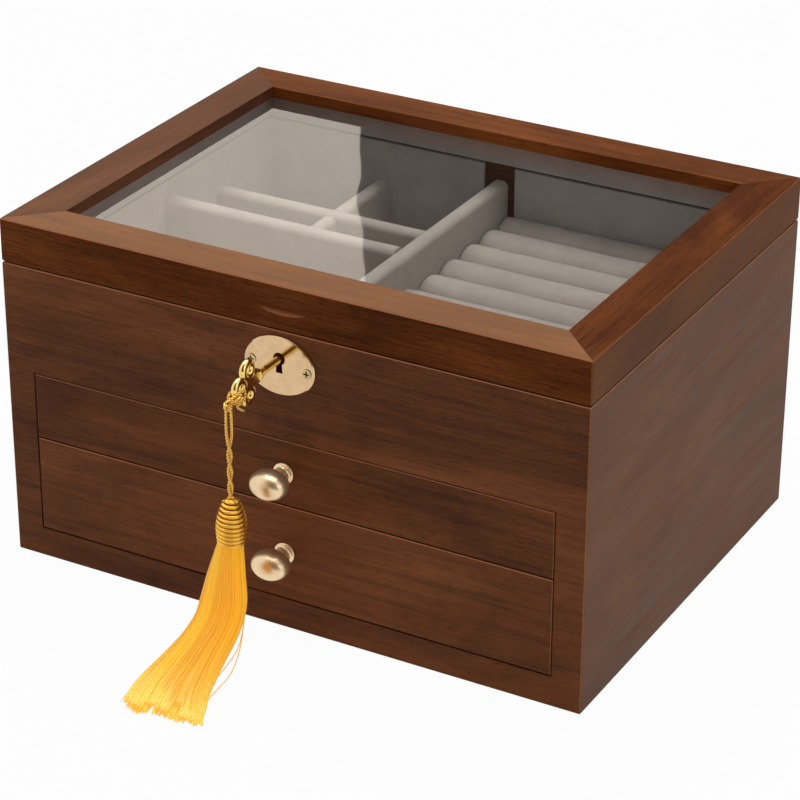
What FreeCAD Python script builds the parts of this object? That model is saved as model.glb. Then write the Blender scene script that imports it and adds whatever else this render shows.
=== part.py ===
"""A wooden jewelry box: a lift-up tray with a glazed lid over two drawers.

The case is veneered board with mitred front corners. The tray is lined in velvet
and holds six compartments, one of them filled by a ring cushion. The lid is a
mitred frame round a glass pane on two butt hinges. A brass lock under an oval
plate takes a key with a trefoil bow, and a tassel hangs from the bow.

Millimetres. X runs to the right, Y to the back and Z up. The origin is the centre
of the underside, so the front face is at minus half the depth.
"""
import FreeCAD, Part

import math
import os

import Sketcher

V = FreeCAD.Vector
doc = FreeCAD.newDocument("jewelry_box")

# Driving dimensions

SIZES = (
    ("box_width", "330", "outside, left to right"),
    ("box_depth", "248", "outside, front to back"),
    ("box_height", "190", "underside to the top of the lid"),
    ("lid_height", "23.6", "seam to the top of the lid"),
    ("seam_gap", "0.6", "between case and closed lid"),
    ("wall_thick", "13", "front and sides, case and lid"),
    ("back_thick", "10", "back, case and lid"),
    ("edge_round", "1", "outer edges of case and lid"),
    ("stile_width", "16", "front frame beside the drawers"),
    ("plinth_height", "16.6", "front frame under the drawers"),
    ("opening_top", "107.5", "upper edge of the drawer opening"),
    ("felt_thick", "1.2", "felt under the box"),
    ("board_thick", "5", "bottom board"),
    ("lower_runner_width", "12", "batten under the lower drawer"),
    ("upper_runner_width", "16", "strip under the upper drawer"),
    ("upper_runner_thick", "6.4", "strip under the upper drawer"),
    ("slide_gap", "0.3", "drawer to its runner"),
    ("tray_gap", "0.8", "drawer opening to the tray floor"),
    ("tray_floor_thick", "4", "board"),
    ("floor_lining_thick", "1.7", "velvet on card"),
    ("lining_thick", "2", "velvet-covered boards on the walls"),
    ("lining_drop", "0.5", "wall linings below the case's top edge"),
    ("bare_left", "14", "left edge of the bare strip of back wall"),
    ("bare_right", "5", "right edge of the bare strip of back wall"),
    ("divider_thick", "9", "velvet-wrapped dividers"),
    ("tall_divider_thick", "9.5", "tall cross divider"),
    ("slim_divider_thick", "8.5", "short velvet-wrapped dividers"),
    ("divider_round", "3.5", "rounded top edges of dividers"),
    ("tall_divider_drop", "9.1", "long and tall cross dividers below the case's top edge"),
    ("low_divider_height", "29.5", "low cross divider"),
    ("short_divider_height", "28.5", "short dividers"),
    ("right_divider_height", "24.5", "divider in front of the ring cushion"),
    ("long_divider_right", "0", "right face of the long divider"),
    ("tall_divider_front", "2", "front face of the tall cross divider"),
    ("low_divider_middle", "58.6", "middle of the low cross divider"),
    ("short_divider_reach", "73.5", "right face of the short dividers, left of the middle"),
    ("right_divider_lead", "5.4", "front face of the right divider, before the middle"),
    ("cushion_gap", "0.3", "ring cushion to what stands round it"),
    ("cushion_margin", "5.8", "flat strip in front of the rolls"),
    ("roll_pitch", "22.3", "one padded roll to the next"),
    ("roll_rise", "9.5", "crest above the foot of a roll's curve"),
    ("ring_slot", "0.9", "width of the slots that hold rings"),
    ("ring_slot_depth", "17", "below the crests"),
    ("drawer_gap", "0.7", "round and between the drawer fronts"),
    ("drawer_front_thick", "12", "board"),
    ("lower_front_height", "52.85", "lower drawer front"),
    ("drawer_edge_round", "0.8", "front edges of the drawer fronts"),
    ("drawer_side_thick", "8", "sides and backs"),
    ("drawer_back_gap", "0.5", "drawer back to the case back"),
    ("drawer_side_gap", "1.5", "lower drawer's sides to the strips above"),
    ("upper_side_drop", "2.8", "upper drawer's sides below its front"),
    ("drawer_bottom_rise", "3", "bottom panel above the sides' lower edge"),
    ("drawer_bottom_thick", "3", "panel"),
    ("drawer_lining_thick", "1.5", "velvet tray"),
    ("knob_width", "21", "across the oval ball"),
    ("knob_height", "15.5", "up the oval ball"),
    ("knob_depth", "15", "front to back through the ball"),
    ("knob_reach", "14", "drawer face to the middle of the ball"),
    ("knob_base_radius", "5.8", "round foot on the drawer"),
    ("knob_base_thick", "1.6", "round foot on the drawer"),
    ("knob_neck_radius", "3.6", "between foot and ball"),
    ("knob_screw_radius", "2", "shank"),
    ("knob_screw_reach", "8", "shank inside the knob"),
    ("knob_screw_head_radius", "4", "let into the back of the drawer front"),
    ("knob_screw_head_thick", "2.2", "let into the back of the drawer front"),
    ("lid_frame_width", "24", "rails seen from above"),
    ("lid_lip_thick", "6.4", "lip over the glass"),
    ("glass_thick", "3", "pane"),
    ("glass_gap", "0.5", "pane to the rails"),
    ("glass_rest_gap", "0.3", "pane above the lid lining"),
    ("scoop_width", "29", "thumb scoop in the lid's front"),
    ("scoop_height", "8.5", "thumb scoop"),
    ("scoop_depth", "1.6", "thumb scoop"),
    ("scoop_across", "0.5", "middle of the scoop from the box's middle"),
    ("scoop_drop", "11.25", "middle of the scoop below the lid's top"),
    ("plate_width", "39.8", "oval lock plate"),
    ("plate_height", "31.2", "oval lock plate"),
    ("plate_thick", "1.5", "oval lock plate"),
    ("plate_bevel", "0.6", "rim of the lock plate"),
    ("plate_across", "-1", "middle of the plate from the box's middle"),
    ("plate_drop", "18.3", "middle of the plate below the case's top edge"),
    ("plate_screw_reach", "15.6", "screws from the middle of the plate"),
    ("plate_screw_tilt", "0.6", "left screw above, right screw below the middle"),
    ("plate_screw_head_radius", "2.7", "low domed head"),
    ("plate_screw_radius", "1", "shank"),
    ("plate_screw_length", "4.5", "shank in the wood"),
    ("key_across", "-0.8", "key's axis from the box's middle"),
    ("key_drop", "14.3", "key's axis below the case's top edge"),
    ("keyhole_radius", "3.3", "round part of the keyhole in the plate"),
    ("keyhole_slot_width", "3.8", "foot of the flared slot"),
    ("keyhole_slot_drop", "7.6", "foot of the slot below the key's axis"),
    ("shaft_radius", "2", "key shaft"),
    ("shaft_hole_gap", "0.5", "round the shaft in wood and lock"),
    ("bit_length", "5.5", "key bit from the axis"),
    ("bit_thick", "1.6", "key bit"),
    ("bit_width", "3", "key bit along the shaft"),
    ("root_start", "17.5", "shoulder of the key's root before the front face"),
    ("root_end", "25", "root meets the bow"),
    ("root_height", "9.6", "root at its shoulder"),
    ("root_thick", "4.6", "root across the bow"),
    ("bow_thick", "2.6", "trefoil bow"),
    ("lobe_radius", "5.7", "each ring of the trefoil"),
    ("lobe_hole_radius", "2.8", "each ring of the trefoil"),
    ("lobe_rise", "7", "upper and lower rings from the axis"),
    ("lobe_reach", "30.6", "upper and lower rings before the front face"),
    ("tip_lobe_reach", "38.4", "outermost ring before the front face"),
    ("lock_width", "32", "lock body in the front wall"),
    ("lock_depth", "8", "lock body in the front wall"),
    ("lock_height", "28", "lock body in the front wall"),
    ("lock_sheet", "1.2", "sheet of the lock body"),
    ("selvage_width", "40", "top strip of the lock"),
    ("lock_screw_reach", "18", "lock screws from the middle"),
    ("staple_slot_width", "14", "opening for the staples"),
    ("bolt_thick", "1.5", "lock bolt"),
    ("bolt_gap", "0.2", "bolt to the lock's inner faces"),
    ("bolt_length", "20", "upper bar of the bolt"),
    ("tail_width", "5", "from the bolt's bar down to the lug"),
    ("tail_lap", "1", "tail and bar together"),
    ("lug_width", "2", "lug that the key pushes"),
    ("lug_height", "2", "lug that the key pushes"),
    ("lug_clear", "2", "key bit to the lug, key upright"),
    ("lug_drop", "1.1", "lug's foot below the bit's foot"),
    ("lug_lap", "0.4", "lug short of the bit's width"),
    ("prong_clear", "0.5", "prongs to the staples, unlocked"),
    ("bolt_height", "5.6", "upper bar of the bolt"),
    ("prong_height", "1.4", "prongs of the bolt"),
    ("prong_width", "1.3", "prongs of the bolt"),
    ("prong_length", "5", "prongs of the bolt"),
    ("staple_thick", "3", "staples of the link plate"),
    ("staple_reach", "4.5", "middle of each staple from the box's middle"),
    ("staple_depth", "3.2", "front to back"),
    ("staple_drop", "8.7", "below the link plate"),
    ("staple_eye_height", "2.6", "eye of the staple"),
    ("staple_eye_depth", "1.8", "eye of the staple"),
    ("link_plate_width", "34", "strip let into the lid"),
    ("link_plate_thick", "1.5", "strip let into the lid"),
    ("link_screw_reach", "13", "its screws from the middle"),
    ("hinge_across", "95", "hinges from the box's middle"),
    ("hinge_width", "38", "along the edge"),
    ("hinge_leaf_depth", "8", "leaf over the edge of the back"),
    ("hinge_leaf_thick", "1", "leaf"),
    ("barrel_radius", "2.2", "hinge barrel"),
    ("barrel_gap", "0.1", "barrel behind the back face"),
    ("knuckle_width", "12.4", "middle knuckle"),
    ("knuckle_gap", "0.3", "between knuckles"),
    ("pin_radius", "0.9", "hinge pin"),
    ("pin_gap", "0.05", "pin in the lid's knuckle"),
    ("leaf_gap", "0.2", "leaf to the other leaf's knuckle"),
    ("screw_head_radius", "1.9", "small countersunk screws"),
    ("screw_radius", "0.9", "small countersunk screws"),
    ("screw_length", "10", "small countersunk screws"),
    ("hinge_screw_reach", "12", "screws from the middle of a hinge"),
    ("hinge_screw_in", "4.5", "screws before the back face"),
    ("cord_radius", "0.95", "tassel cord"),
    ("loop_radius", "3", "hitch round the bow's ring, to the cord's middle"),
    ("hitch_slope", "42", "degrees below the shaft's line at which the hitch sits"),
    ("hitch_offset", "2", "hanging cord left of the key's axis"),
    ("fold_radius", "1.1", "knot of the hitch"),
    ("fold_gap", "0.1", "knot to loop and strands"),
    ("head_top", "95", "top of the tassel's wound head"),
    ("head_bottom", "70.5", "foot of the wound head"),
    ("head_top_radius", "3.8", "wound head at its top"),
    ("head_belly_radius", "8", "widest part of the wound head"),
    ("head_bottom_radius", "6.4", "wound head at its foot"),
    ("winding_turns", "9", "turns of wire round the head"),
    ("winding_radius", "1", "gold wire of the head"),
    ("winding_gap", "0.35", "wire to the threads inside"),
)

PLACES = (
    ("side", "sizes.box_width / 2"),
    ("front", "-sizes.box_depth / 2"),
    ("back", "sizes.box_depth / 2"),
    ("inner_side", "side - sizes.wall_thick"),
    ("inner_front", "front + sizes.wall_thick"),
    ("inner_back", "back - sizes.back_thick"),
    ("lid_top", "sizes.box_height"),
    ("seam", "lid_top - sizes.lid_height"),
    ("case_top", "seam - sizes.seam_gap / 2"),
    ("lid_bottom", "seam + sizes.seam_gap / 2"),
    ("opening_side", "side - sizes.stile_width"),
    ("board_low", "sizes.felt_thick"),
    ("board_top", "board_low + sizes.board_thick"),
    ("floor_low", "sizes.opening_top + sizes.tray_gap"),
    ("floor_top", "floor_low + sizes.tray_floor_thick"),
    ("lined_floor", "floor_top + sizes.floor_lining_thick"),
    ("lined_side", "inner_side - sizes.lining_thick"),
    ("lined_front", "inner_front + sizes.lining_thick"),
    ("lined_back", "inner_back - sizes.lining_thick"),
    ("lining_top", "case_top - sizes.lining_drop"),
    ("long_left", "sizes.long_divider_right - sizes.divider_thick"),
    ("tall_divider_height", "case_top - sizes.tall_divider_drop - lined_floor"),
    ("tall_back", "sizes.tall_divider_front + sizes.tall_divider_thick"),
    ("low_front", "sizes.low_divider_middle - sizes.divider_thick / 2"),
    ("low_back", "sizes.low_divider_middle + sizes.divider_thick / 2"),
    ("short_right", "-sizes.short_divider_reach"),
    ("short_left", "short_right - sizes.slim_divider_thick"),
    ("right_front", "-sizes.right_divider_lead"),
    ("right_back", "right_front + sizes.divider_thick"),
    ("cushion_left", "sizes.long_divider_right + sizes.cushion_gap"),
    ("cushion_right", "lined_side - sizes.cushion_gap"),
    ("cushion_front", "right_back + sizes.cushion_gap"),
    ("cushion_back", "lined_back - sizes.cushion_gap"),
    ("cushion_top", "lined_floor + sizes.right_divider_height"),
    ("drawer_side", "opening_side - sizes.drawer_gap"),
    ("drawer_inside", "drawer_side - sizes.drawer_side_thick"),
    ("drawer_front_back", "front + sizes.drawer_front_thick"),
    ("drawer_back", "inner_back - sizes.drawer_back_gap"),
    ("drawer_back_front", "drawer_back - sizes.drawer_side_thick"),
    ("lower_low", "sizes.plinth_height + sizes.drawer_gap"),
    ("lower_top", "lower_low + sizes.lower_front_height"),
    ("upper_low", "lower_top + sizes.drawer_gap"),
    ("upper_top", "sizes.opening_top - sizes.drawer_gap"),
    ("lower_knob_up", "(lower_low + lower_top) / 2"),
    ("upper_knob_up", "(upper_low + upper_top) / 2"),
    ("lower_runner_top", "lower_low - sizes.slide_gap"),
    ("upper_runner_top", "upper_low - sizes.slide_gap"),
    ("upper_runner_low", "upper_runner_top - sizes.upper_runner_thick"),
    ("lower_side_top", "upper_runner_low - sizes.drawer_side_gap"),
    ("upper_side_top", "upper_top - sizes.upper_side_drop"),
    ("lip_low", "lid_top - sizes.lid_lip_thick"),
    ("glass_low", "lip_low - sizes.glass_thick"),
    ("lid_lining_low", "lid_bottom + sizes.lining_drop"),
    ("lid_lining_top", "glass_low - sizes.glass_rest_gap"),
    ("window_side", "side - sizes.lid_frame_width"),
    ("window_front", "front + sizes.lid_frame_width"),
    ("window_back", "back - sizes.lid_frame_width"),
    ("scoop_up", "lid_top - sizes.scoop_drop"),
    ("plate_front", "front - sizes.plate_thick"),
    ("plate_up", "case_top - sizes.plate_drop"),
    ("key_up", "case_top - sizes.key_drop"),
    ("lock_front", "inner_front - sizes.lock_depth"),
    ("lock_low", "case_top - sizes.lock_height"),
    ("lock_cavity_front", "lock_front + sizes.lock_sheet"),
    ("lock_cavity_back", "inner_front - sizes.lock_sheet"),
    ("lock_cavity_side", "sizes.lock_width / 2 - sizes.lock_sheet"),
    ("lock_cavity_low", "lock_low + sizes.lock_sheet"),
    ("lock_cavity_top", "case_top - sizes.lock_sheet"),
    ("bolt_back", "lock_cavity_back - sizes.bolt_gap"),
    ("bolt_front", "bolt_back - sizes.bolt_thick"),
    ("bolt_top", "lock_cavity_top - 2 * sizes.bolt_gap"),
    ("bolt_bar_low", "bolt_top - sizes.bolt_height"),
    ("prong_up", "(bolt_bar_low + bolt_top) / 2"),
    ("staple_back", "bolt_front - 1.5 * sizes.bolt_gap"),
    ("staple_front", "staple_back - sizes.staple_depth"),
    ("staple_middle", "staple_back - sizes.staple_depth / 2"),
    ("key_end", "bolt_front - 2 * sizes.bolt_gap"),
    ("bit_low", "key_up - sizes.bit_length"),
    ("link_top", "lid_bottom + sizes.link_plate_thick"),
    ("axis_y", "back + sizes.barrel_gap + sizes.barrel_radius"),
    ("axis_z", "seam"),
    ("leaf_front", "back - sizes.hinge_leaf_depth"),
    ("leaf_back", "axis_y - sizes.barrel_radius - sizes.leaf_gap"),
    ("case_leaf_low", "case_top - sizes.hinge_leaf_thick"),
    ("lid_leaf_top", "lid_bottom + sizes.hinge_leaf_thick"),
    ("tip_lobe_y", "front - sizes.tip_lobe_reach"),
)


def add_sheet(name, rows):
    """A sheet of named cells: the name in column A, the number or formula in B, a note in C."""
    sheet = doc.addObject("Spreadsheet::Sheet", name)
    for row, (alias, text, note) in enumerate(rows, 1):
        sheet.set(f"A{row}", alias)
        sheet.set(f"B{row}", text)
        sheet.setAlias(f"B{row}", alias)
        sheet.set(f"C{row}", note)
    return sheet


sizes = add_sheet("sizes", SIZES)
places = add_sheet("places", [(alias, "=" + formula, "worked out") for alias, formula in PLACES])
doc.recompute()

nodes = []


def keep(item, label):
    """Marks a finished sub-part and names it."""
    item.Label = label
    nodes.append(item)
    return item


# Building blocks bound to the sheets

TURN = {
    "x": FreeCAD.Rotation(V(0, 1, 0), 90),
    "y": FreeCAD.Rotation(V(1, 0, 0), -90),
    "-y": FreeCAD.Rotation(V(1, 0, 0), 90),
    "z": FreeCAD.Rotation(),
    "-z": FreeCAD.Rotation(V(1, 0, 0), 180),
}


def put(item, turn, x, y, z):
    """Turns an item and binds its place to three expressions."""
    item.Placement = FreeCAD.Placement(V(), TURN[turn])
    item.setExpression(".Placement.Base.x", x)
    item.setExpression(".Placement.Base.y", y)
    item.setExpression(".Placement.Base.z", z)
    return item


def block(name, x, y, z):
    """A box between a low and a high expression on each axis."""
    box = doc.addObject("Part::Box", name)
    for side, (low, high) in zip(("Length", "Width", "Height"), (x, y, z)):
        box.setExpression(side, f"({high}) - ({low})")
    return put(box, "z", x[0], y[0], z[0])


def rod(name, turn, x, y, z, radius, length):
    """A round bar from a point, along the turned axis."""
    bar = doc.addObject("Part::Cylinder", name)
    bar.setExpression("Radius", radius)
    bar.setExpression("Height", length)
    return put(bar, turn, x, y, z)


def taper(name, turn, x, y, z, first_radius, last_radius, length):
    """A cone frustum from a point, along the turned axis."""
    cone = doc.addObject("Part::Cone", name)
    cone.setExpression("Radius1", first_radius)
    cone.setExpression("Radius2", last_radius)
    cone.setExpression("Height", length)
    return put(cone, turn, x, y, z)


def oval_ball(name, x, y, z, width, depth, height):
    """An ellipsoid from its three full widths."""
    ball = doc.addObject("Part::Ellipsoid", name)
    ball.setExpression("Radius2", f"({width}) / 2")
    ball.setExpression("Radius3", f"({depth}) / 2")
    ball.setExpression("Radius1", f"({height}) / 2")
    return put(ball, "z", x, y, z)


def fuse(name, *parts):
    joined = doc.addObject("Part::MultiFuse", name)
    joined.Shapes = list(parts)
    joined.Refine = True
    return joined


def cut(name, base, *tools):
    """Takes the tools away from the base."""
    result = doc.addObject("Part::Cut", name)
    result.Base = base
    result.Tool = tools[0] if len(tools) == 1 else fuse(name + "_cutters", *tools)
    return result


def common(name, *parts):
    result = doc.addObject("Part::MultiCommon", name)
    result.Shapes = list(parts)
    return result


def group(name, *parts):
    """Alike pieces as one sub-part of separate solids."""
    result = doc.addObject("Part::Compound", name)
    result.Links = list(parts)
    return result


def round_edges(name, base, radius, chosen):
    """Rounds the edges of the base that a test on the edge picks."""
    doc.recompute()
    rounded = doc.addObject("Part::Fillet", name)
    rounded.Base = base
    edges = enumerate(base.Shape.Edges, 1)
    rounded.Edges = [(index, radius, radius) for index, edge in edges if chosen(edge)]
    return rounded


PLANE_ROLE = {"top": "XY_Plane", "front": "XZ_Plane", "side": "YZ_Plane"}


def board(name, view, corners, low, high):
    """A pad whose outline is drawn in the top, front or side view, between two limits.

    Each corner is a pair of expressions: X and Y in the top view, X and Z in the front
    view, Y and Z in the side view.
    """
    body = doc.addObject("PartDesign::Body", name)
    sketch = body.newObject("Sketcher::SketchObject", name + "_outline")
    plane = next(item for item in body.Origin.OriginFeatures if item.Role == PLANE_ROLE[view])
    sketch.AttachmentSupport = [(plane, "")]
    sketch.MapMode = "FlatFace"
    start = f"-({high})" if view == "front" else low
    sketch.setExpression(".AttachmentOffset.Base.z", start)
    points = [V(places.evalExpression(a), places.evalExpression(b), 0) for a, b in corners]
    count = len(points)
    for index in range(count):
        sketch.addGeometry(Part.LineSegment(points[index], points[(index + 1) % count]), False)
    for index in range(count):
        sketch.addConstraint(Sketcher.Constraint("Coincident", index, 2, (index + 1) % count, 1))
    for index, (pair, point) in enumerate(zip(corners, points)):
        for kind, expression, value in zip(("DistanceX", "DistanceY"), pair, point):
            number = sketch.addConstraint(Sketcher.Constraint(kind, -1, 1, index, 1, value))
            sketch.setExpression(f"Constraints[{number}]", expression)
    pad = body.newObject("PartDesign::Pad", name + "_pad")
    pad.Profile = sketch
    pad.setExpression("Length", f"({high}) - ({low})")
    return body


def both(expression):
    """The same distance left and right of the middle."""
    return (f"-({expression})", expression)


def screw(name, turn, x, y, z, sink):
    """A small countersunk wood screw; its head lies at the point, its shank runs along the turn."""
    head = taper(name + "_head", turn, x, y, z, "sizes.screw_head_radius", "sizes.screw_radius", sink)
    shank = rod(name + "_shank", turn, x, y, z, "sizes.screw_radius", "sizes.screw_length")
    return fuse(name, head, shank)


# Wooden case

def outline(name, low, high):
    """The outside of the case or of the lid, with softened edges."""
    whole = block(name + "_square", both("places.side"), ("places.front", "places.back"), (low, high))
    return round_edges(name, whole, sizes.edge_round, lambda edge: True)


case_outline = outline("case_outline", "0", "places.case_top")
lid_outline = outline("lid_outline", "places.lid_bottom", "places.lid_top")


def keyhole(name, radius, slot_width, near, far):
    """A round hole with a flared slot below it, through the front."""
    length = f"({far}) - ({near})"
    eye = rod(name + "_eye", "y", "sizes.key_across", near, "places.key_up", radius, length)
    half_foot = f"({slot_width}) / 2"
    half_neck = f"({slot_width}) / 2 * 0.7"
    foot = "places.key_up - sizes.keyhole_slot_drop"
    corners = (
        (f"sizes.key_across - {half_foot}", foot),
        (f"sizes.key_across + {half_foot}", foot),
        (f"sizes.key_across + {half_neck}", "places.key_up"),
        (f"sizes.key_across - {half_neck}", "places.key_up"),
    )
    slot = board(name + "_slot", "front", corners, near, far)
    return fuse(name, eye, slot)


def plate_screws():
    """Two low domed cross-head screws in the lock plate, and the room that they take."""
    screws = []
    rooms = []
    for side, sign in (("left", "-"), ("right", "")):
        x = f"sizes.plate_across + ({sign}sizes.plate_screw_reach)"
        z = f"places.plate_up - ({sign}sizes.plate_screw_tilt)"
        name = f"plate_screw_{side}"
        head_radius = "sizes.plate_screw_head_radius"
        sink = taper(name + "_sink", "y", x, "places.plate_front", z,
                     head_radius, "sizes.plate_screw_radius", "sizes.plate_thick")
        dome_y = "places.plate_front - sizes.plate_screw_radius * 0.4"
        dome = rod(name + "_dome", "y", x, dome_y, z, head_radius, "sizes.plate_screw_radius * 0.4")
        shank = rod(name + "_shank", "y", x, "places.plate_front", z, "sizes.plate_screw_radius",
                    "sizes.plate_thick + sizes.plate_screw_length")
        whole = fuse(name + "_whole", sink, dome, shank)
        arm = "sizes.plate_screw_head_radius * 0.62"
        slim = "sizes.plate_screw_head_radius * 0.14"
        deep = (dome_y + " - 0.1", "places.plate_front + sizes.plate_thick * 0.4")
        flat = block(name + "_flat", (f"{x} - {arm}", f"{x} + {arm}"), deep,
                     (f"{z} - {slim}", f"{z} + {slim}"))
        upright = block(name + "_upright", (f"{x} - {slim}", f"{x} + {slim}"), deep,
                        (f"{z} - {arm}", f"{z} + {arm}"))
        screws.append(cut(name, whole, flat, upright))
        rooms.append(whole)
    keep(group("escutcheon_screws", *screws), "escutcheon_screws")
    return group("plate_screw_rooms", *rooms)


def lock_envelope(name):
    """The room that the lock takes in the front wall."""
    half = "sizes.lock_width / 2"
    depth = ("places.lock_front", "places.inner_front")
    trunk = block(name + "_trunk", both(half), depth, ("places.lock_low", "places.case_top"))
    strip = block(name + "_strip", both("sizes.selvage_width / 2"), depth,
                  ("places.lock_cavity_top", "places.case_top"))
    return fuse(name, trunk, strip)


def lock_screws():
    screws = []
    middle = "(places.lock_front + places.inner_front) / 2"
    for side, sign in (("left", "-"), ("right", "")):
        x = f"{sign}sizes.lock_screw_reach"
        screws.append(screw(f"lock_screw_{side}", "-z", x, middle, "places.case_top", "sizes.lock_sheet"))
    return keep(group("lock_screws", *screws), "lock_screws")


def lock_case(screws):
    """Sheet brass lock body with the top strip, its staple slot and its keyhole."""
    cavity = block("lock_cavity", both("places.lock_cavity_side"),
                   ("places.lock_cavity_front", "places.lock_cavity_back"),
                   ("places.lock_cavity_low", "places.lock_cavity_top"))
    slot = block("lock_staple_slot", both("sizes.staple_slot_width / 2"),
                 ("places.lock_cavity_front", "places.lock_cavity_back"),
                 ("places.lock_cavity_top - 0.5", "places.case_top + 0.5"))
    hole = keyhole("lock_keyhole", "sizes.shaft_radius + sizes.shaft_hole_gap", "sizes.keyhole_slot_width",
                   "places.lock_front - 0.5", "places.lock_cavity_front + 0.5")
    return keep(cut("lock_case", lock_envelope("lock_body"), cavity, slot, hole, screws), "lock_case")


def lock_bolt():
    """A bar with two prongs for the staples, and a tail with the lug that the key pushes."""
    depth = ("places.bolt_front", "places.bolt_back")
    half_prong = "sizes.prong_height / 2"
    prong_z = (f"places.prong_up - {half_prong}", f"places.prong_up + {half_prong}")
    prong_y = ("places.staple_middle - sizes.prong_width / 2", "places.staple_middle + sizes.prong_width / 2")
    arm = "sizes.prong_width"
    parts = []
    for side, sign in (("left", "-"), ("right", "")):
        tip = f"({sign}sizes.staple_reach) - sizes.staple_thick / 2 - sizes.prong_clear"
        root = f"{tip} - sizes.prong_length"
        parts.append(block(f"prong_{side}", (root, tip), prong_y, prong_z))
        parts.append(block(f"prong_arm_{side}", (root, f"{root} + {arm}"), (prong_y[0], depth[1]), prong_z))
    far_left = "-sizes.staple_reach - sizes.staple_thick / 2 - sizes.prong_clear - sizes.prong_length"
    bar_z = ("places.bolt_bar_low", "places.bolt_top")
    parts.append(block("bolt_bar", (far_left, f"{far_left} + sizes.bolt_length"), depth, bar_z))
    lug_left = "sizes.key_across + sizes.bit_thick / 2 + sizes.lug_clear"
    lug_right = f"{lug_left} + sizes.lug_width"
    lug_low = "places.bit_low - sizes.lug_drop"
    tail_z = (lug_low, "places.bolt_bar_low + sizes.tail_lap")
    parts.append(block("bolt_tail", (f"{lug_right} - sizes.tail_width", lug_right), depth, tail_z))
    lug_y = ("places.key_end - sizes.bit_width + sizes.lug_lap", depth[1])
    parts.append(block("bolt_lug", (lug_left, lug_right), lug_y, (lug_low, f"{lug_low} + sizes.lug_height")))
    return keep(fuse("lock_bolt", *parts), "lock_bolt")


def front_frame(plate_screw_rooms, lock_screw_group):
    """Front of the case: a mitred board with the drawer opening, the lock's mortise and the keyhole."""
    corners = (
        ("-places.side", "places.front"),
        ("places.side", "places.front"),
        ("places.inner_side", "places.inner_front"),
        ("-places.inner_side", "places.inner_front"),
    )
    plank = board("front_plank", "top", corners, "0", "places.case_top")
    opening = block("drawer_opening", both("places.opening_side"),
                    ("places.front - 1", "places.inner_front + 1"),
                    ("sizes.plinth_height", "sizes.opening_top"))
    hole = keyhole("wood_keyhole", "sizes.shaft_radius + sizes.shaft_hole_gap", "sizes.keyhole_slot_width",
                   "places.front - 1", "places.lock_front + 1")
    pierced = cut("front_pierced", plank, opening, hole, lock_envelope("lock_mortise"),
                  plate_screw_rooms, lock_screw_group)
    return keep(common("front_frame", pierced, case_outline), "front_frame")


def side_wall(side, sign):
    """Side of the case, mitred to the front and running past the back."""
    corners = (
        (f"{sign}places.side", "places.front"),
        (f"{sign}places.inner_side", "places.inner_front"),
        (f"{sign}places.inner_side", "places.back"),
        (f"{sign}places.side", "places.back"),
    )
    plank = board(f"{side}_plank", "top", corners, "0", "places.case_top")
    return keep(common(f"{side}_side", plank, case_outline), f"{side}_side")


def hinge_centres():
    return (("left", "-sizes.hinge_across"), ("right", "sizes.hinge_across"))


def leaf(name, x, z_limits, gap_words):
    """A hinge leaf's plate; the room it is let into is the same plate."""
    return block(name, (f"{x} - sizes.hinge_width / 2", f"{x} + sizes.hinge_width / 2"),
                 ("places.leaf_front", gap_words), z_limits)


CASE_LEAF_Z = ("places.case_leaf_low", "places.case_top")
LID_LEAF_Z = ("places.lid_bottom", "places.lid_leaf_top")


def hinge_screws(owner, turn, z):
    screws = []
    y = "places.back - sizes.hinge_screw_in"
    for side, x in hinge_centres():
        for end, sign in (("a", "-"), ("b", "+")):
            place = f"{x} {sign} sizes.hinge_screw_reach"
            name = f"hinge_{owner}_screw_{side}_{end}"
            screws.append(screw(name, turn, place, y, z, "sizes.hinge_leaf_thick"))
    return keep(group(f"hinge_{owner}_screws", *screws), f"hinge_{owner}_screws")


def hinge_leaves(owner, z_limits, screws, bore, stretches):
    """Both leaves of one owner: plates, the tongues to the barrel and the knuckles on it."""
    leaves = []
    for side, x in hinge_centres():
        name = f"hinge_{owner}_{side}"
        parts = [leaf(name + "_plate", x, z_limits, "places.leaf_back")]
        for index, (low, high) in enumerate(stretches):
            limits = (f"{x} + ({low})", f"{x} + ({high})")
            tongue_y = ("places.leaf_back - 1", "places.axis_y")
            parts.append(block(f"{name}_tongue_{index}", limits, tongue_y, z_limits))
            parts.append(rod(f"{name}_knuckle_{index}", "x", limits[0], "places.axis_y", "places.axis_z",
                             "sizes.barrel_radius", f"({limits[1]}) - ({limits[0]})"))
        hole = rod(name + "_bore", "x", f"{x} - sizes.hinge_width / 2 - 1", "places.axis_y", "places.axis_z",
                   bore, "sizes.hinge_width + 2")
        leaves.append(cut(name, fuse(name + "_solid", *parts), hole, screws))
    return keep(group(f"hinge_{owner}_leaves", *leaves), f"hinge_{owner}_leaves")


def hinge_pins():
    pins = []
    for side, x in hinge_centres():
        pins.append(rod(f"hinge_pin_{side}", "x", f"{x} - sizes.hinge_width / 2", "places.axis_y",
                        "places.axis_z", "sizes.pin_radius", "sizes.hinge_width"))
    return keep(group("hinge_pins", *pins), "hinge_pins")


def back_panel(screws):
    """Back of the case, between the sides, with the hinge leaves let into its top edge."""
    plank = block("back_plank", both("places.inner_side"), ("places.inner_back", "places.back"),
                  ("0", "places.case_top"))
    seats = [leaf(f"case_seat_{side}", x, CASE_LEAF_Z, "places.back + 1") for side, x in hinge_centres()]
    seated = cut("back_seated", plank, *seats, screws)
    return keep(common("back_panel", seated, case_outline), "back_panel")


ROOM = (both("places.inner_side"), ("places.inner_front", "places.inner_back"))

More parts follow.
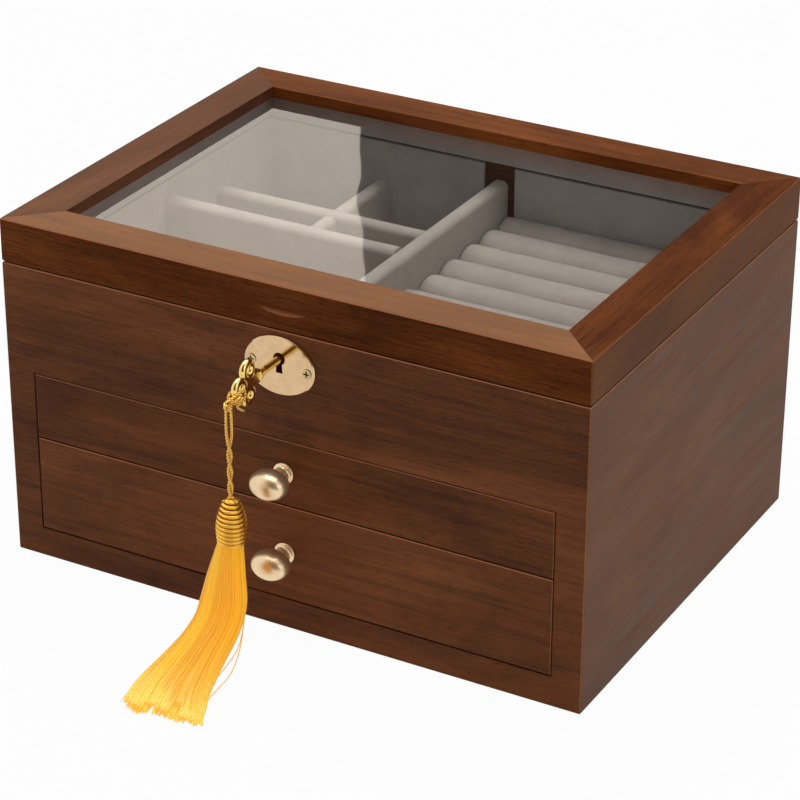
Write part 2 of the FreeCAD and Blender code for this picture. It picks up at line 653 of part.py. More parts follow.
plate_screw_rooms = plate_screws()
lock_screw_group = lock_screws()
case_hinge_screws = hinge_screws("case", "-z", "places.case_top")
lid_hinge_screws = hinge_screws("lid", "z", "places.lid_bottom")
front_frame(plate_screw_rooms, lock_screw_group)
for side_name, side_sign in (("left", "-"), ("right", "")):
    side_wall(side_name, side_sign)
back_panel(case_hinge_screws)
keep(block("base_felt", *ROOM, ("0", "places.board_low")), "base_felt")
keep(block("bottom_board", *ROOM, ("places.board_low", "places.board_top")), "bottom_board")


def runners():
    """Battens on the bottom board and strips on the sides that the drawers slide on."""
    strips = []
    for tier, width, low, top in (
        ("lower", "sizes.lower_runner_width", "places.board_top", "places.lower_runner_top"),
        ("upper", "sizes.upper_runner_width", "places.upper_runner_low", "places.upper_runner_top"),
    ):
        strips.append(block(f"{tier}_runner_left", ("-places.inner_side", f"-places.inner_side + {width}"),
                            ROOM[1], (low, top)))
        strips.append(block(f"{tier}_runner_right", (f"places.inner_side - {width}", "places.inner_side"),
                            ROOM[1], (low, top)))
    return keep(group("drawer_runners", *strips), "drawer_runners")


runners()

# Velvet-lined tray

keep(block("tray_floor", *ROOM, ("places.floor_low", "places.floor_top")), "tray_floor")
keep(block("floor_lining", *ROOM, ("places.floor_top", "places.lined_floor")), "floor_lining")

LINING_Z = ("places.lined_floor", "places.lining_top")


def wall_linings():
    """Velvet-covered boards on the four walls; a strip of the back wall stays bare."""
    left = block("left_lining", ("-places.inner_side", "-places.lined_side"), ROOM[1], LINING_Z)
    right = block("right_lining", ("places.lined_side", "places.inner_side"), ROOM[1], LINING_Z)
    keep(group("side_linings", left, right), "side_linings")
    keep(block("front_lining", both("places.lined_side"), ("places.inner_front", "places.lined_front"),
               LINING_Z), "front_lining")
    back_y = ("places.lined_back", "places.inner_back")
    keep(block("back_lining_left", ("-places.lined_side", "-sizes.bare_left"), back_y, LINING_Z),
         "back_lining_left")
    keep(block("back_lining_right", ("sizes.bare_right", "places.lined_side"), back_y, LINING_Z),
         "back_lining_right")


wall_linings()


def divider(name, x, y, height, along):
    """A velvet-wrapped upright board on the tray floor, its two long top edges rounded."""
    top = f"places.lined_floor + {height}"
    upright = block(name + "_square", x, y, ("places.lined_floor", top))
    level = places.evalExpression(top)

    def on_top(edge):
        ends = [vertex.Point for vertex in edge.Vertexes]
        runs_along = abs(getattr(ends[1] - ends[0], along)) > 1
        return runs_along and all(abs(point.z - level) < 0.01 for point in ends)

    return keep(round_edges(name, upright, sizes.divider_round, on_top), name)


divider("long_divider", ("places.long_left", "sizes.long_divider_right"),
        ("places.lined_front", "places.inner_back"), "places.tall_divider_height", "y")
LEFT_SPAN = ("-places.lined_side", "places.long_left")
divider("tall_cross_divider", LEFT_SPAN, ("sizes.tall_divider_front", "places.tall_back"),
        "places.tall_divider_height", "x")
divider("low_cross_divider", LEFT_SPAN, ("places.low_front", "places.low_back"),
        "sizes.low_divider_height", "x")
SHORT_X = ("places.short_left", "places.short_right")
divider("rear_short_divider", SHORT_X, ("places.low_back", "places.lined_back"),
        "sizes.short_divider_height", "y")
divider("front_short_divider", SHORT_X, ("places.tall_back", "places.low_front"),
        "sizes.short_divider_height", "y")
divider("right_divider", ("sizes.long_divider_right", "places.lined_side"),
        ("places.right_front", "places.right_back"), "sizes.right_divider_height", "x")


def ring_cushion():
    """Padded rolls across the compartment; rings stand in the slots between them."""
    front = places.cushion_front
    back = places.cushion_back
    floor = places.lined_floor
    crest = places.cushion_top
    foot = crest - sizes.roll_rise
    slot_foot = crest - sizes.ring_slot_depth
    half_slot = sizes.ring_slot / 2
    rows = [(front, floor), (front, foot)]
    first_slot = front + sizes.cushion_margin
    slots = []
    place = first_slot
    while place < back - half_slot:
        slots.append(place)
        place += sizes.roll_pitch
    edges = []

    def point(y, z):
        return V(places.cushion_left, y, z)

    def run_to(y, z):
        edges.append(Part.LineSegment(point(*rows[-1]), point(y, z)).toShape())
        rows.append((y, z))

    def roll_to(y):
        """An arc over one roll, or over the part of it that the back wall leaves."""
        start = rows[-1][0]
        radius = (half_chord ** 2 + sizes.roll_rise ** 2) / (2 * sizes.roll_rise)
        middle = start + half_chord

        def height(at):
            return crest - radius + math.sqrt(radius ** 2 - (at - middle) ** 2)

        between = (start + y) / 2
        end = (y, height(y))
        edges.append(Part.Arc(point(*rows[-1]), point(between, height(between)), point(*end)).toShape())
        rows.append(end)

    half_chord = (sizes.roll_pitch - sizes.ring_slot) / 2
    edges.append(Part.LineSegment(point(front, floor), point(front, foot)).toShape())
    for index, slot in enumerate(slots):
        if index == 0:
            run_to(slot - half_slot, foot)
        run_to(slot - half_slot, slot_foot)
        run_to(slot + half_slot, slot_foot)
        run_to(slot + half_slot, foot)
        roll_end = slot + sizes.roll_pitch - half_slot
        roll_to(min(roll_end, back))
    run_to(back, floor)
    run_to(front, floor)
    profile = Part.Face(Part.Wire(edges))
    cushion = doc.addObject("Part::Feature", "ring_cushion")
    cushion.Shape = profile.extrude(V(places.cushion_right - places.cushion_left, 0, 0))
    return keep(cushion, "ring_cushion")


ring_cushion()

# Lock plate and lock

def plate_oval(name, inset, y):
    """The plate's outline at one depth, drawn in all round by the inset."""
    oval = doc.addObject("Part::Ellipse", name)
    oval.setExpression("MajorRadius", f"sizes.plate_width / 2 - ({inset})")
    oval.setExpression("MinorRadius", f"sizes.plate_height / 2 - ({inset})")
    return put(oval, "-y", "sizes.plate_across", y, "places.plate_up")


def escutcheon(screw_rooms):
    """Oval plate with a bevelled rim, pierced for the key and its screws."""
    ovals = (
        plate_oval("plate_back", "0", "places.front"),
        plate_oval("plate_edge", "0", "places.plate_front + sizes.plate_bevel"),
        plate_oval("plate_face", "sizes.plate_bevel", "places.plate_front"),
    )
    solid = doc.addObject("Part::Loft", "plate_solid")
    solid.Sections = list(ovals)
    solid.Solid = True
    solid.Ruled = True
    hole = keyhole("plate_keyhole", "sizes.keyhole_radius", "sizes.keyhole_slot_width",
                   "places.plate_front - 1", "places.front + 1")
    return keep(cut("escutcheon", solid, hole, screw_rooms), "escutcheon")


escutcheon(plate_screw_rooms)
lock_case(lock_screw_group)
lock_bolt()


def key():
    """Round shaft with a bit, a flared root and a pierced trefoil bow."""
    x = "sizes.key_across"
    z = "places.key_up"
    root_y = "places.front - sizes.root_start"
    shaft = rod("key_shaft", "-y", x, "places.key_end", z, "sizes.shaft_radius",
                f"places.key_end - ({root_y}) + 1")
    bit = block("key_bit", (f"{x} - sizes.bit_thick / 2", f"{x} + sizes.bit_thick / 2"),
                ("places.key_end - sizes.bit_width", "places.key_end"), ("places.bit_low", z))
    half_root = "sizes.root_height / 2"
    root_end = "places.front - sizes.root_end"
    corners = (
        (root_y, f"{z} - {half_root}"),
        (root_y, f"{z} + {half_root}"),
        (root_end, f"{z} + {half_root} * 0.7"),
        (root_end, f"{z} - {half_root} * 0.7"),
    )
    half_thick = "sizes.root_thick / 2"
    root = board("key_root", "side", corners, f"{x} - {half_thick}", f"{x} + {half_thick}")
    half_bow = "sizes.bow_thick / 2"
    lobes = []
    holes = []
    for name, reach, rise in (
        ("upper", "sizes.lobe_reach", "sizes.lobe_rise"),
        ("lower", "sizes.lobe_reach", "-sizes.lobe_rise"),
        ("tip", "sizes.tip_lobe_reach", "0"),
    ):
        y = f"places.front - {reach}"
        up = f"{z} + ({rise})"
        lobes.append(rod(f"bow_{name}", "x", f"{x} - {half_bow}", y, up,
                         "sizes.lobe_radius", "sizes.bow_thick"))
        holes.append(rod(f"bow_{name}_hole", "x", f"{x} - {half_bow} - 1", y, up,
                         "sizes.lobe_hole_radius", "sizes.bow_thick + 2"))
    heart = block("bow_heart", (f"{x} - {half_bow}", f"{x} + {half_bow}"),
                  ("places.front - sizes.tip_lobe_reach + sizes.lobe_hole_radius + 1", root_y),
                  (f"{z} - sizes.shaft_radius", f"{z} + sizes.shaft_radius"))
    solid = fuse("key_solid", shaft, bit, root, *lobes, heart)
    return keep(cut("key", solid, *holes), "key")


key()

# Lid

def lid_rail(name, profile_view, profile, limits, corners, *cutters):
    """One rail of the lid: wall and lip in one, mitred at both ends."""
    bar = board(name + "_bar", profile_view, profile, *limits)
    wedge = board(name + "_mitre", "top", corners, "places.lid_bottom", "places.lid_top")
    if cutters:
        bar = cut(name + "_worked", bar, *cutters)
    return keep(common(name, bar, wedge, lid_outline), name)


def lid_profile(outer, wall, window):
    return (
        (outer, "places.lid_bottom"),
        (wall, "places.lid_bottom"),
        (wall, "places.lip_low"),
        (window, "places.lip_low"),
        (window, "places.lid_top"),
        (outer, "places.lid_top"),
    )


def link_plate_parts():
    """The strip let into the lid's front rail, with two staples, and its screws."""
    depth = ("places.lock_front", "places.inner_front")
    strip_x = both("sizes.link_plate_width / 2")
    strip = block("link_strip", strip_x, depth, ("places.lid_bottom", "places.link_top"))
    screws = []
    middle = "(places.lock_front + places.inner_front) / 2"
    for side, sign in (("left", "-"), ("right", "")):
        x = f"{sign}sizes.link_screw_reach"
        screws.append(screw(f"link_screw_{side}", "z", x, middle, "places.lid_bottom",
                            "sizes.link_plate_thick"))
    screw_group = keep(group("link_plate_screws", *screws), "link_plate_screws")
    staples = []
    eyes = []
    for side, sign in (("left", "-"), ("right", "")):
        x = f"{sign}sizes.staple_reach"
        half = "sizes.staple_thick / 2"
        staples.append(block(f"staple_{side}", (f"{x} - {half}", f"{x} + {half}"),
                             ("places.staple_front", "places.staple_back"),
                             ("places.lid_bottom - sizes.staple_drop", "places.link_top")))
        eye_y = ("places.staple_middle - sizes.staple_eye_depth / 2",
                 "places.staple_middle + sizes.staple_eye_depth / 2")
        eye_z = ("places.prong_up - sizes.staple_eye_height / 2",
                 "places.prong_up + sizes.staple_eye_height / 2")
        eyes.append(block(f"staple_eye_{side}", (f"{x} - {half} - 1", f"{x} + {half} + 1"), eye_y, eye_z))
    solid = fuse("link_solid", strip, *staples)
    keep(cut("link_plate", solid, *eyes, screw_group), "link_plate")
    room = block("link_room", strip_x, depth, ("places.lid_bottom - 1", "places.link_top"))
    return room, screw_group


def thumb_scoop():
    """A slim barrel lying in front of the rail; it cuts a shallow lens into the face."""
    half_width = sizes.scoop_width / 2
    depth = sizes.scoop_depth
    stand_off = ((sizes.scoop_height / 2) ** 2 / depth - depth) / 2
    bulge_radius = (half_width ** 2 + depth ** 2) / (2 * depth)
    half_length = half_width * 1.1
    end_radius = stand_off + depth - bulge_radius + math.sqrt(bulge_radius ** 2 - half_length ** 2)
    corners = [V(half_length, end_radius, 0), V(half_length, 0, 0), V(-half_length, 0, 0),
               V(-half_length, end_radius, 0)]
    edges = [Part.Arc(corners[3], V(0, stand_off + depth, 0), corners[0]).toShape()]
    edges += [Part.LineSegment(a, b).toShape() for a, b in zip(corners, corners[1:])]
    barrel = doc.addObject("Part::Feature", "thumb_scoop")
    barrel.Shape = Part.Face(Part.Wire(edges)).revolve(V(), V(1, 0, 0), 360)
    middle = V(sizes.scoop_across, places.front - stand_off, places.scoop_up)
    barrel.Placement = FreeCAD.Placement(middle, FreeCAD.Rotation())
    return barrel


def lid():
    reach = "sizes.lid_frame_width"
    scoop = thumb_scoop()
    link_room, link_screws = link_plate_parts()
    across = both("places.side")
    lid_rail("lid_front_rail", "side",
             lid_profile("places.front", "places.inner_front", "places.window_front"), across,
             (("-places.side", "places.front"), ("places.side", "places.front"),
              (f"places.side - {reach}", "places.window_front"),
              (f"-places.side + {reach}", "places.window_front")),
             scoop, link_room, link_screws)
    seats = [leaf(f"lid_seat_{side}", x, ("places.lid_bottom - 1", "places.lid_leaf_top"), "places.back + 1")
             for side, x in hinge_centres()]
    lid_rail("lid_back_rail", "side",
             lid_profile("places.back", "places.inner_back", "places.window_back"), across,
             (("-places.side", "places.back"), ("places.side", "places.back"),
              (f"places.side - {reach}", "places.window_back"),
              (f"-places.side + {reach}", "places.window_back")),
             *seats, lid_hinge_screws)
    for side, sign in (("left", "-"), ("right", "")):
        lid_rail(f"lid_{side}_rail", "front",
                 lid_profile(f"{sign}places.side", f"{sign}places.inner_side", f"{sign}places.window_side"),
                 ("places.front", "places.back"),
                 ((f"{sign}places.side", "places.front"),
                  (f"{sign}places.window_side", "places.window_front"),
                  (f"{sign}places.window_side", "places.window_back"),
                  (f"{sign}places.side", "places.back")))
    gap = "sizes.glass_gap"
    keep(block("glass_pane", both(f"places.inner_side - {gap}"),
               (f"places.inner_front + {gap}", f"places.inner_back - {gap}"),
               ("places.glass_low", "places.lip_low")), "glass_pane")
    band = ("places.lid_lining_low", "places.lid_lining_top")
    strips = (
        block("lid_lining_left", ("-places.inner_side", "-places.lined_side"), ROOM[1], band),
        block("lid_lining_right", ("places.lined_side", "places.inner_side"), ROOM[1], band),
        block("lid_lining_front", both("places.lined_side"),
              ("places.inner_front", "places.lined_front"), band),
        block("lid_lining_back", both("places.lined_side"),
              ("places.lined_back", "places.inner_back"), band),
    )
    keep(group("lid_lining", *strips), "lid_lining")


lid()

half_middle = "sizes.knuckle_width / 2"
half_hinge = "sizes.hinge_width / 2"
outer_start = f"{half_middle} + sizes.knuckle_gap"
hinge_leaves("case", CASE_LEAF_Z, case_hinge_screws, "sizes.pin_radius",
             ((f"-({half_hinge})", f"-({outer_start})"), (outer_start, half_hinge)))
hinge_leaves("lid", LID_LEAF_Z, lid_hinge_screws, "sizes.pin_radius + sizes.pin_gap",
             ((f"-({half_middle})", half_middle),))
hinge_pins()

# Drawers

def knob(tier, up):
    """Oval ball on a neck and a round foot, bored for its screw; and the screw."""
    foot = rod(f"{tier}_knob_foot", "-y", "0", "places.front", up,
               "sizes.knob_base_radius", "sizes.knob_base_thick")
    neck = rod(f"{tier}_knob_neck", "-y", "0", "places.front", up,
               "sizes.knob_neck_radius", "sizes.knob_reach")
    ball = oval_ball(f"{tier}_knob_ball", "0", "places.front - sizes.knob_reach", up,
                     "sizes.knob_width", "sizes.knob_depth", "sizes.knob_height")
    head = rod(f"{tier}_knob_screw_head", "-y", "0", "places.drawer_front_back", up,
               "sizes.knob_screw_head_radius", "sizes.knob_screw_head_thick")
    shank = rod(f"{tier}_knob_screw_shank", "-y", "0", "places.drawer_front_back", up,
                "sizes.knob_screw_radius", "sizes.drawer_front_thick + sizes.knob_screw_reach")
    fastener = keep(fuse(f"{tier}_knob_screw", head, shank), f"{tier}_knob_screw")
    keep(cut(f"{tier}_knob", fuse(f"{tier}_knob_solid", foot, neck, ball), fastener), f"{tier}_knob")
    return fastener


def drawer(tier, low, top, side_top, knob_up):
    """Front, sides, back, bottom and velvet tray of one drawer."""
    name = f"{tier}_drawer"
    fastener = knob(tier, knob_up)
    plank = block(f"{name}_plank", both("places.drawer_side"),
                  ("places.front", "places.drawer_front_back"), (low, top))
    face_level = places.front
    softened = round_edges(f"{name}_softened", plank, sizes.drawer_edge_round,
                           lambda edge: abs(edge.CenterOfMass.y - face_level) < 0.01)
    keep(cut(f"{name}_front", softened, fastener), f"{name}_front")
    run = ("places.drawer_front_back", "places.drawer_back")
    upright = (low, side_top)
    keep(block(f"{name}_left_side", ("-places.drawer_side", "-places.drawer_inside"), run, upright),
         f"{name}_left_side")
    keep(block(f"{name}_right_side", ("places.drawer_inside", "places.drawer_side"), run, upright),
         f"{name}_right_side")
    between = both("places.drawer_inside")
    keep(block(f"{name}_back", between, ("places.drawer_back_front", "places.drawer_back"), upright),
         f"{name}_back")
    inside_run = ("places.drawer_front_back", "places.drawer_back_front")
    bottom_low = f"{low} + sizes.drawer_bottom_rise"
    bottom_top = f"{bottom_low} + sizes.drawer_bottom_thick"
    keep(block(f"{name}_bottom", between, inside_run, (bottom_low, bottom_top)), f"{name}_bottom")
    cloth = "sizes.drawer_lining_thick"
    lining_top = f"{side_top} - sizes.lining_drop"
    shell = block(f"{name}_lining_outer", between, inside_run, (bottom_top, lining_top))
    hollow = block(f"{name}_lining_inner", both(f"places.drawer_inside - {cloth}"),
                   (f"{inside_run[0]} + {cloth}", f"{inside_run[1]} - {cloth}"),
                   (f"{bottom_top} + {cloth}", f"{lining_top} + 1"))
    keep(cut(f"{name}_lining", shell, hollow), f"{name}_lining")


drawer("lower", "places.lower_low", "places.lower_top", "places.lower_side_top", "places.lower_knob_up")
drawer("upper", "places.upper_low", "places.upper_top", "places.upper_side_top", "places.upper_knob_up")

# Tassel

def hitch():
    """Where the folded cord hangs, just below the loop round the bow's outermost ring."""
    slope = math.radians(sizes.hitch_slope)
    rim_middle = (sizes.lobe_radius + sizes.lobe_hole_radius) / 2
    loop_drop = (rim_middle + sizes.loop_radius) * math.sin(slope)
    loop_reach = (rim_middle + sizes.loop_radius + sizes.cord_radius) * math.cos(slope)
    fold_drop = loop_drop + sizes.cord_radius + sizes.fold_radius + sizes.fold_gap
    return V(sizes.key_across - sizes.hitch_offset, places.tip_lobe_y - loop_reach, places.key_up - fold_drop)


HANG = hitch()


def cord_loop():
    """The hitch: the cord goes through the outermost ring of the bow and round its rim."""
    loop = doc.addObject("Part::Torus", "cord_loop")
    loop.setExpression("Radius1", "sizes.loop_radius")
    loop.setExpression("Radius2", "sizes.cord_radius")
    loop.Placement = FreeCAD.Placement(V(), FreeCAD.Rotation(V(1, 0, 0), sizes.hitch_slope))
    rim_middle = "(sizes.lobe_radius + sizes.lobe_hole_radius) / 2"
    loop.setExpression(".Placement.Base.x", "sizes.key_across")
    loop.setExpression(".Placement.Base.y", f"places.tip_lobe_y - {rim_middle} * cos(sizes.hitch_slope)")
    loop.setExpression(".Placement.Base.z", f"places.key_up - {rim_middle} * sin(sizes.hitch_slope)")
    return keep(loop, "cord_loop")


def cord_fold():
    """The knot of the hitch, where the folded cord holds its own two strands."""
    knot = doc.addObject("Part::Sphere", "cord_fold")
    knot.setExpression("Radius", "sizes.fold_radius")
    knot.Placement = FreeCAD.Placement(HANG, FreeCAD.Rotation())
    return keep(knot, "cord_fold")


def tube(name, edges, radius):
    """A round bar swept along lines and arcs."""
    path = Part.Wire(edges)
    first = edges[0]
    start = first.valueAt(first.FirstParameter)
    direction = first.tangentAt(first.FirstParameter)
    section = Part.Wire(Part.Circle(start, direction, radius).toShape())
    solid = path.makePipeShell([section], True, False)
    wanted = math.pi * radius ** 2 * path.Length
    print(f"{name}: {path.Length:.1f} mm long, volume {solid.Volume:.1f}, section times length {wanted:.1f}")
    feature = doc.addObject("Part::Feature", name)
    feature.Shape = solid
    return feature


def routed(name, points):
    """Straight runs joined by arcs that take 0.45 of the shorter run."""
    share = 0.45
    edges = []
    start = points[0]
    radii = []
    for before, corner, after in zip(points, points[1:], points[2:]):
        back_run = before - corner
        fore_run = after - corner
        reach = share * min(back_run.Length, fore_run.Length)
        back_run.normalize()
        fore_run.normalize()
        turn = math.pi - back_run.getAngle(fore_run)
        radius = reach / math.tan(turn / 2)
        radii.append(round(radius, 1))
        enter = corner + back_run * reach
        leave = corner + fore_run * reach
        inward = back_run + fore_run
        inward.normalize()
        middle = corner + inward * (radius / math.cos(turn / 2) - radius)
        edges.append(Part.LineSegment(start, enter).toShape())
        edges.append(Part.Arc(enter, middle, leave).toShape())
        start = leave
    edges.append(Part.LineSegment(start, points[-1]).toShape())
    print(name, "bend radii", radii)
    return edges


def tassel_cord():
    """The two strands that carry the tassel, turning slowly about each other."""
    top = HANG.z - sizes.fold_radius - sizes.fold_gap
    foot = sizes.head_top + 0.1
    offsets = ((1.35, 0.0, 1.0), (1.16, 0.3, 0.7), (1.0, 0.66, 0.35), (0.62, 1.0, 0.0))
    strands = []
    for side, sign in (("left", -1), ("right", 1)):
        points = [V(HANG.x + sign * x, HANG.y + sign * y, foot + (top - foot) * share)
                  for x, y, share in offsets]
        strands.append(tube(f"strand_{side}", routed(f"strand_{side}", points), sizes.cord_radius))
    keep(group("tassel_cord", *strands), "tassel_cord")


# Height of the widest turn within the wound head.
BELLY_SHARE = 0.36


def head_radius(z):
    """Outer radius of the wound head: a beehive, widest below its middle."""
    belly = sizes.head_bottom + (sizes.head_top - sizes.head_bottom) * BELLY_SHARE
    if z > belly:
        share = (z - belly) / (sizes.head_top - belly)
        narrow = sizes.head_top_radius
    else:
        share = (belly - z) / (belly - sizes.head_bottom)
        narrow = sizes.head_bottom_radius
    return narrow + (sizes.head_belly_radius - narrow) * math.cos(share * math.pi / 2)


def winding_point(turned):
    """Middle of the wire after a number of turns, from the top down."""
    span = sizes.head_top - sizes.head_bottom - 2 * sizes.winding_radius - sizes.winding_gap
    z = sizes.head_top - sizes.winding_radius - span * turned / sizes.winding_turns
    angle = 2 * math.pi * turned
    reach = head_radius(z) - sizes.winding_radius
    return V(HANG.x + reach * math.cos(angle), HANG.y + reach * math.sin(angle), z)


def winding_direction(turned):
    step = 0.001
    direction = winding_point(turned + step) - winding_point(turned - step)
    return direction.normalize()


def arc_between(start, corner, end):
    """The arc that touches start to corner and corner to end, where both are equally long."""
    middle = (start + end) / 2
    half_chord = (end - start).Length / 2
    rise = (corner - middle).Length
    half_turn = math.atan2(rise, half_chord)
    crown = middle + (corner - middle) / rise * (half_chord * math.tan(half_turn / 2))
    return Part.Arc(start, crown, end).toShape()


def pair_of_arcs(start, start_direction, end, end_direction):
    """Two arcs that leave and arrive in the given directions."""
    chord = end - start
    both_directions = start_direction + end_direction
    along = chord.dot(both_directions)
    turn = 2 * (1 - start_direction.dot(end_direction))
    reach = (-along + math.sqrt(along ** 2 + turn * chord.dot(chord))) / turn
    first_corner = start + start_direction * reach
    second_corner = end - end_direction * reach
    join = (first_corner + second_corner) / 2
    return [arc_between(start, first_corner, join), arc_between(join, second_corner, end)]


def tassel_winding():
    """The gold wire wound round the head, one unbroken tube."""
    half_turns = round(2 * sizes.winding_turns)
    stations = [index / 2 for index in range(half_turns + 1)]
    straight = 2 * sizes.winding_radius
    start = winding_point(stations[0])
    edges = [Part.LineSegment(start - winding_direction(stations[0]) * straight, start).toShape()]
    for here, there in zip(stations, stations[1:]):
        edges += pair_of_arcs(winding_point(here), winding_direction(here),
                              winding_point(there), winding_direction(there))
    end = winding_point(stations[-1])
    edges.append(Part.LineSegment(end, end + winding_direction(stations[-1]) * straight).toShape())
    points = [point for edge in edges for point in edge.discretize(10)]
    lengths = [0.0]
    for before, after in zip(points, points[1:]):
        lengths.append(lengths[-1] + (after - before).Length)
    apart = math.pi * sizes.head_top_radius
    gap = min(
        (points[i] - points[j]).Length
        for i in range(len(points))
        for j in range(i + 1, len(points))
        if lengths[j] - lengths[i] > apart
    ) - 2 * sizes.winding_radius
    print(f"tassel_winding: least gap to itself {gap:.2f} mm")
    return keep(tube("tassel_winding", edges, sizes.winding_radius), "tassel_winding")


# Middle of the skirt from the foot of the head to its tips on the table: across and
# forward from the head's axis, height, width and thickness.
SKIRT_ROUTE = (
    (-0.8, -3.2, 52.8, 19, 13.5),
    (-2.2, -5.4, 40.7, 25, 14),
    (-3.4, -12.0, 29.7, 31, 14),
    (-5.2, -21.2, 20.0, 37, 13),
    (-6.7, -30.5, 12.4, 42, 11),
    (-8.2, -43.0, 6.2, 45, 8.5),
    (-9.2, -54.5, 3.6, 46, 6),
)


def oval_section(middle, across, rise, width, thick):
    """A closed oval of four arcs."""
    compass = [V(across) * (width / 2), V(rise) * (thick / 2)]
    compass += [-compass[0], -compass[1]]
    diagonal = math.sqrt(0.5)
    arcs = []
    for here, there in zip(compass, compass[1:] + compass[:1]):
        arcs.append(Part.Arc(middle + here, middle + (here + there) * diagonal, middle + there).toShape())
    return Part.Wire(arcs)


def tassel_skirt():
    """The threads: a neck inside the wound head and the skirt that sweeps over the table."""
    inner = 2 * sizes.winding_radius + sizes.winding_gap
    belly = sizes.head_bottom + (sizes.head_top - sizes.head_bottom) * BELLY_SHARE
    levels = [sizes.head_top, (sizes.head_top + belly) / 2, belly, (belly + sizes.head_bottom) / 2,
              sizes.head_bottom]
    profile = [V(head_radius(z) - inner, 0, z) for z in levels]
    outline_edges = [
        Part.LineSegment(V(0, 0, levels[0]), profile[0]).toShape(),
        Part.Arc(*profile[:3]).toShape(),
        Part.Arc(*profile[2:]).toShape(),
        Part.LineSegment(profile[4], V(0, 0, levels[4])).toShape(),
        Part.LineSegment(V(0, 0, levels[4]), V(0, 0, levels[0])).toShape(),
    ]
    neck = Part.Face(Part.Wire(outline_edges)).revolve(V(), V(0, 0, 1), 360)
    neck.translate(V(HANG.x, HANG.y, 0))
    axis = V(HANG.x, HANG.y, 0)
    first_width = 2 * sizes.head_bottom_radius
    rows = [(0, 0, sizes.head_bottom, first_width, first_width)] + list(SKIRT_ROUTE)
    middles = [axis + V(x, y, z) for x, y, z, width, thick in rows]
    sections = []
    for index, (middle, row) in enumerate(zip(middles, rows)):
        direction = V(0, 0, -1)
        across = V(1, 0, 0)
        if index > 0:
            direction = middles[min(index + 1, len(rows) - 1)] - middles[index - 1]
            direction.normalize()
            across = V(-direction.y, direction.x, 0)
            across.normalize()
        sections.append(oval_section(middle, across, across.cross(direction), row[3], row[4]))
    skirt = doc.addObject("Part::Feature", "tassel_skirt")
    skirt.Shape = Part.makeLoft(sections, True, False).fuse(neck)
    return keep(skirt, "tassel_skirt")


cord_loop()
cord_fold()
tassel_cord()
tassel_winding()
tassel_skirt()

# Checks and export

doc.recompute()
for item in doc.Objects:
    faults = [state for state in item.State if state in ("Invalid", "Error")]
    if faults:
        raise RuntimeError(f"{item.Label} is {faults}")

labels = [item.Label for item in nodes]
if len(set(labels)) != len(labels):
    raise RuntimeError("two sub-parts share a name")
for item in nodes:
    if item.Shape.isNull() or not item.Shape.isValid() or not item.Shape.Solids:
        raise RuntimeError(f"{item.Label} has no sound shape")

os.makedirs("parts", exist_ok=True)
for item in nodes:
    item.Shape.exportStep(f"parts/{item.Label}.step")
    box = item.Shape.BoundBox
    spans = f"{box.XLength:.1f} x {box.YLength:.1f} x {box.ZLength:.1f}"
    print(f"{item.Label}: {len(item.Shape.Solids)} solids, {spans}")
print(len(nodes), "sub-parts")
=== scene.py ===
# %% [markdown]
# # A wooden jewelry box, dressed for the camera
#
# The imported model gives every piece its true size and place. This notebook adds what makes it
# look real: figured walnut, velvet, polished brass, a silky tassel. Each step says what the real
# piece is, how it could be made, and why it is made this way here.

# %% Load the model
import random
from math import cos, degrees, pi, radians, remainder, sin, sqrt

import bmesh
import bpy
from mathutils import Matrix, Vector


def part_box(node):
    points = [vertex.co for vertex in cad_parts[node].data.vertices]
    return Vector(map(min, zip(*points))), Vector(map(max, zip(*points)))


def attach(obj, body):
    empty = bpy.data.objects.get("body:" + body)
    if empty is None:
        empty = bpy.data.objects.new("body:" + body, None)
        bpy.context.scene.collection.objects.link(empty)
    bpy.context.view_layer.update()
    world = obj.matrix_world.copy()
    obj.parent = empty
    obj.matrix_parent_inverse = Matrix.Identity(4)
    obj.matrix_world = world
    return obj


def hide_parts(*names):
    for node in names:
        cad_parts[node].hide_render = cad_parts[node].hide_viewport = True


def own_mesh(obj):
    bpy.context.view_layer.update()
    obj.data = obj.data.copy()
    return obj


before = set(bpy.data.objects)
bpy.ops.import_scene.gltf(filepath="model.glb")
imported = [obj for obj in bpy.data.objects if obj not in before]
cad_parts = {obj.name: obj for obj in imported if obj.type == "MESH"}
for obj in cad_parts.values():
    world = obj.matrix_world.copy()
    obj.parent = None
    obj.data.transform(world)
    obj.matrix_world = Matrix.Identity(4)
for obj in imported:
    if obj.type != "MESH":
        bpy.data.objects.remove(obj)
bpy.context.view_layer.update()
MM = 0.001
TURN = 2 * pi

# %% [markdown]
# ## The camera
#
# The photograph was taken from the front right, looking down. Its focal length and direction were
# solved from the seven corners of the box that show. The three axes of the camera are worked out
# from two angles and a slight roll, so the view can be read from the numbers.

# %% Camera
AZIMUTH = radians(29.016)
ELEVATION = radians(26.989)
ROLL = radians(0.2115)
CAMERA_PLACE = Vector((0.67080, -1.21584, 0.78132))
FOCAL_LENGTH = 133.05


def into_scene(name, data):
    """A new object of the scene, with its mesh, lamp or lens."""
    made = bpy.data.objects.new(name, data)
    bpy.context.scene.collection.objects.link(made)
    return made


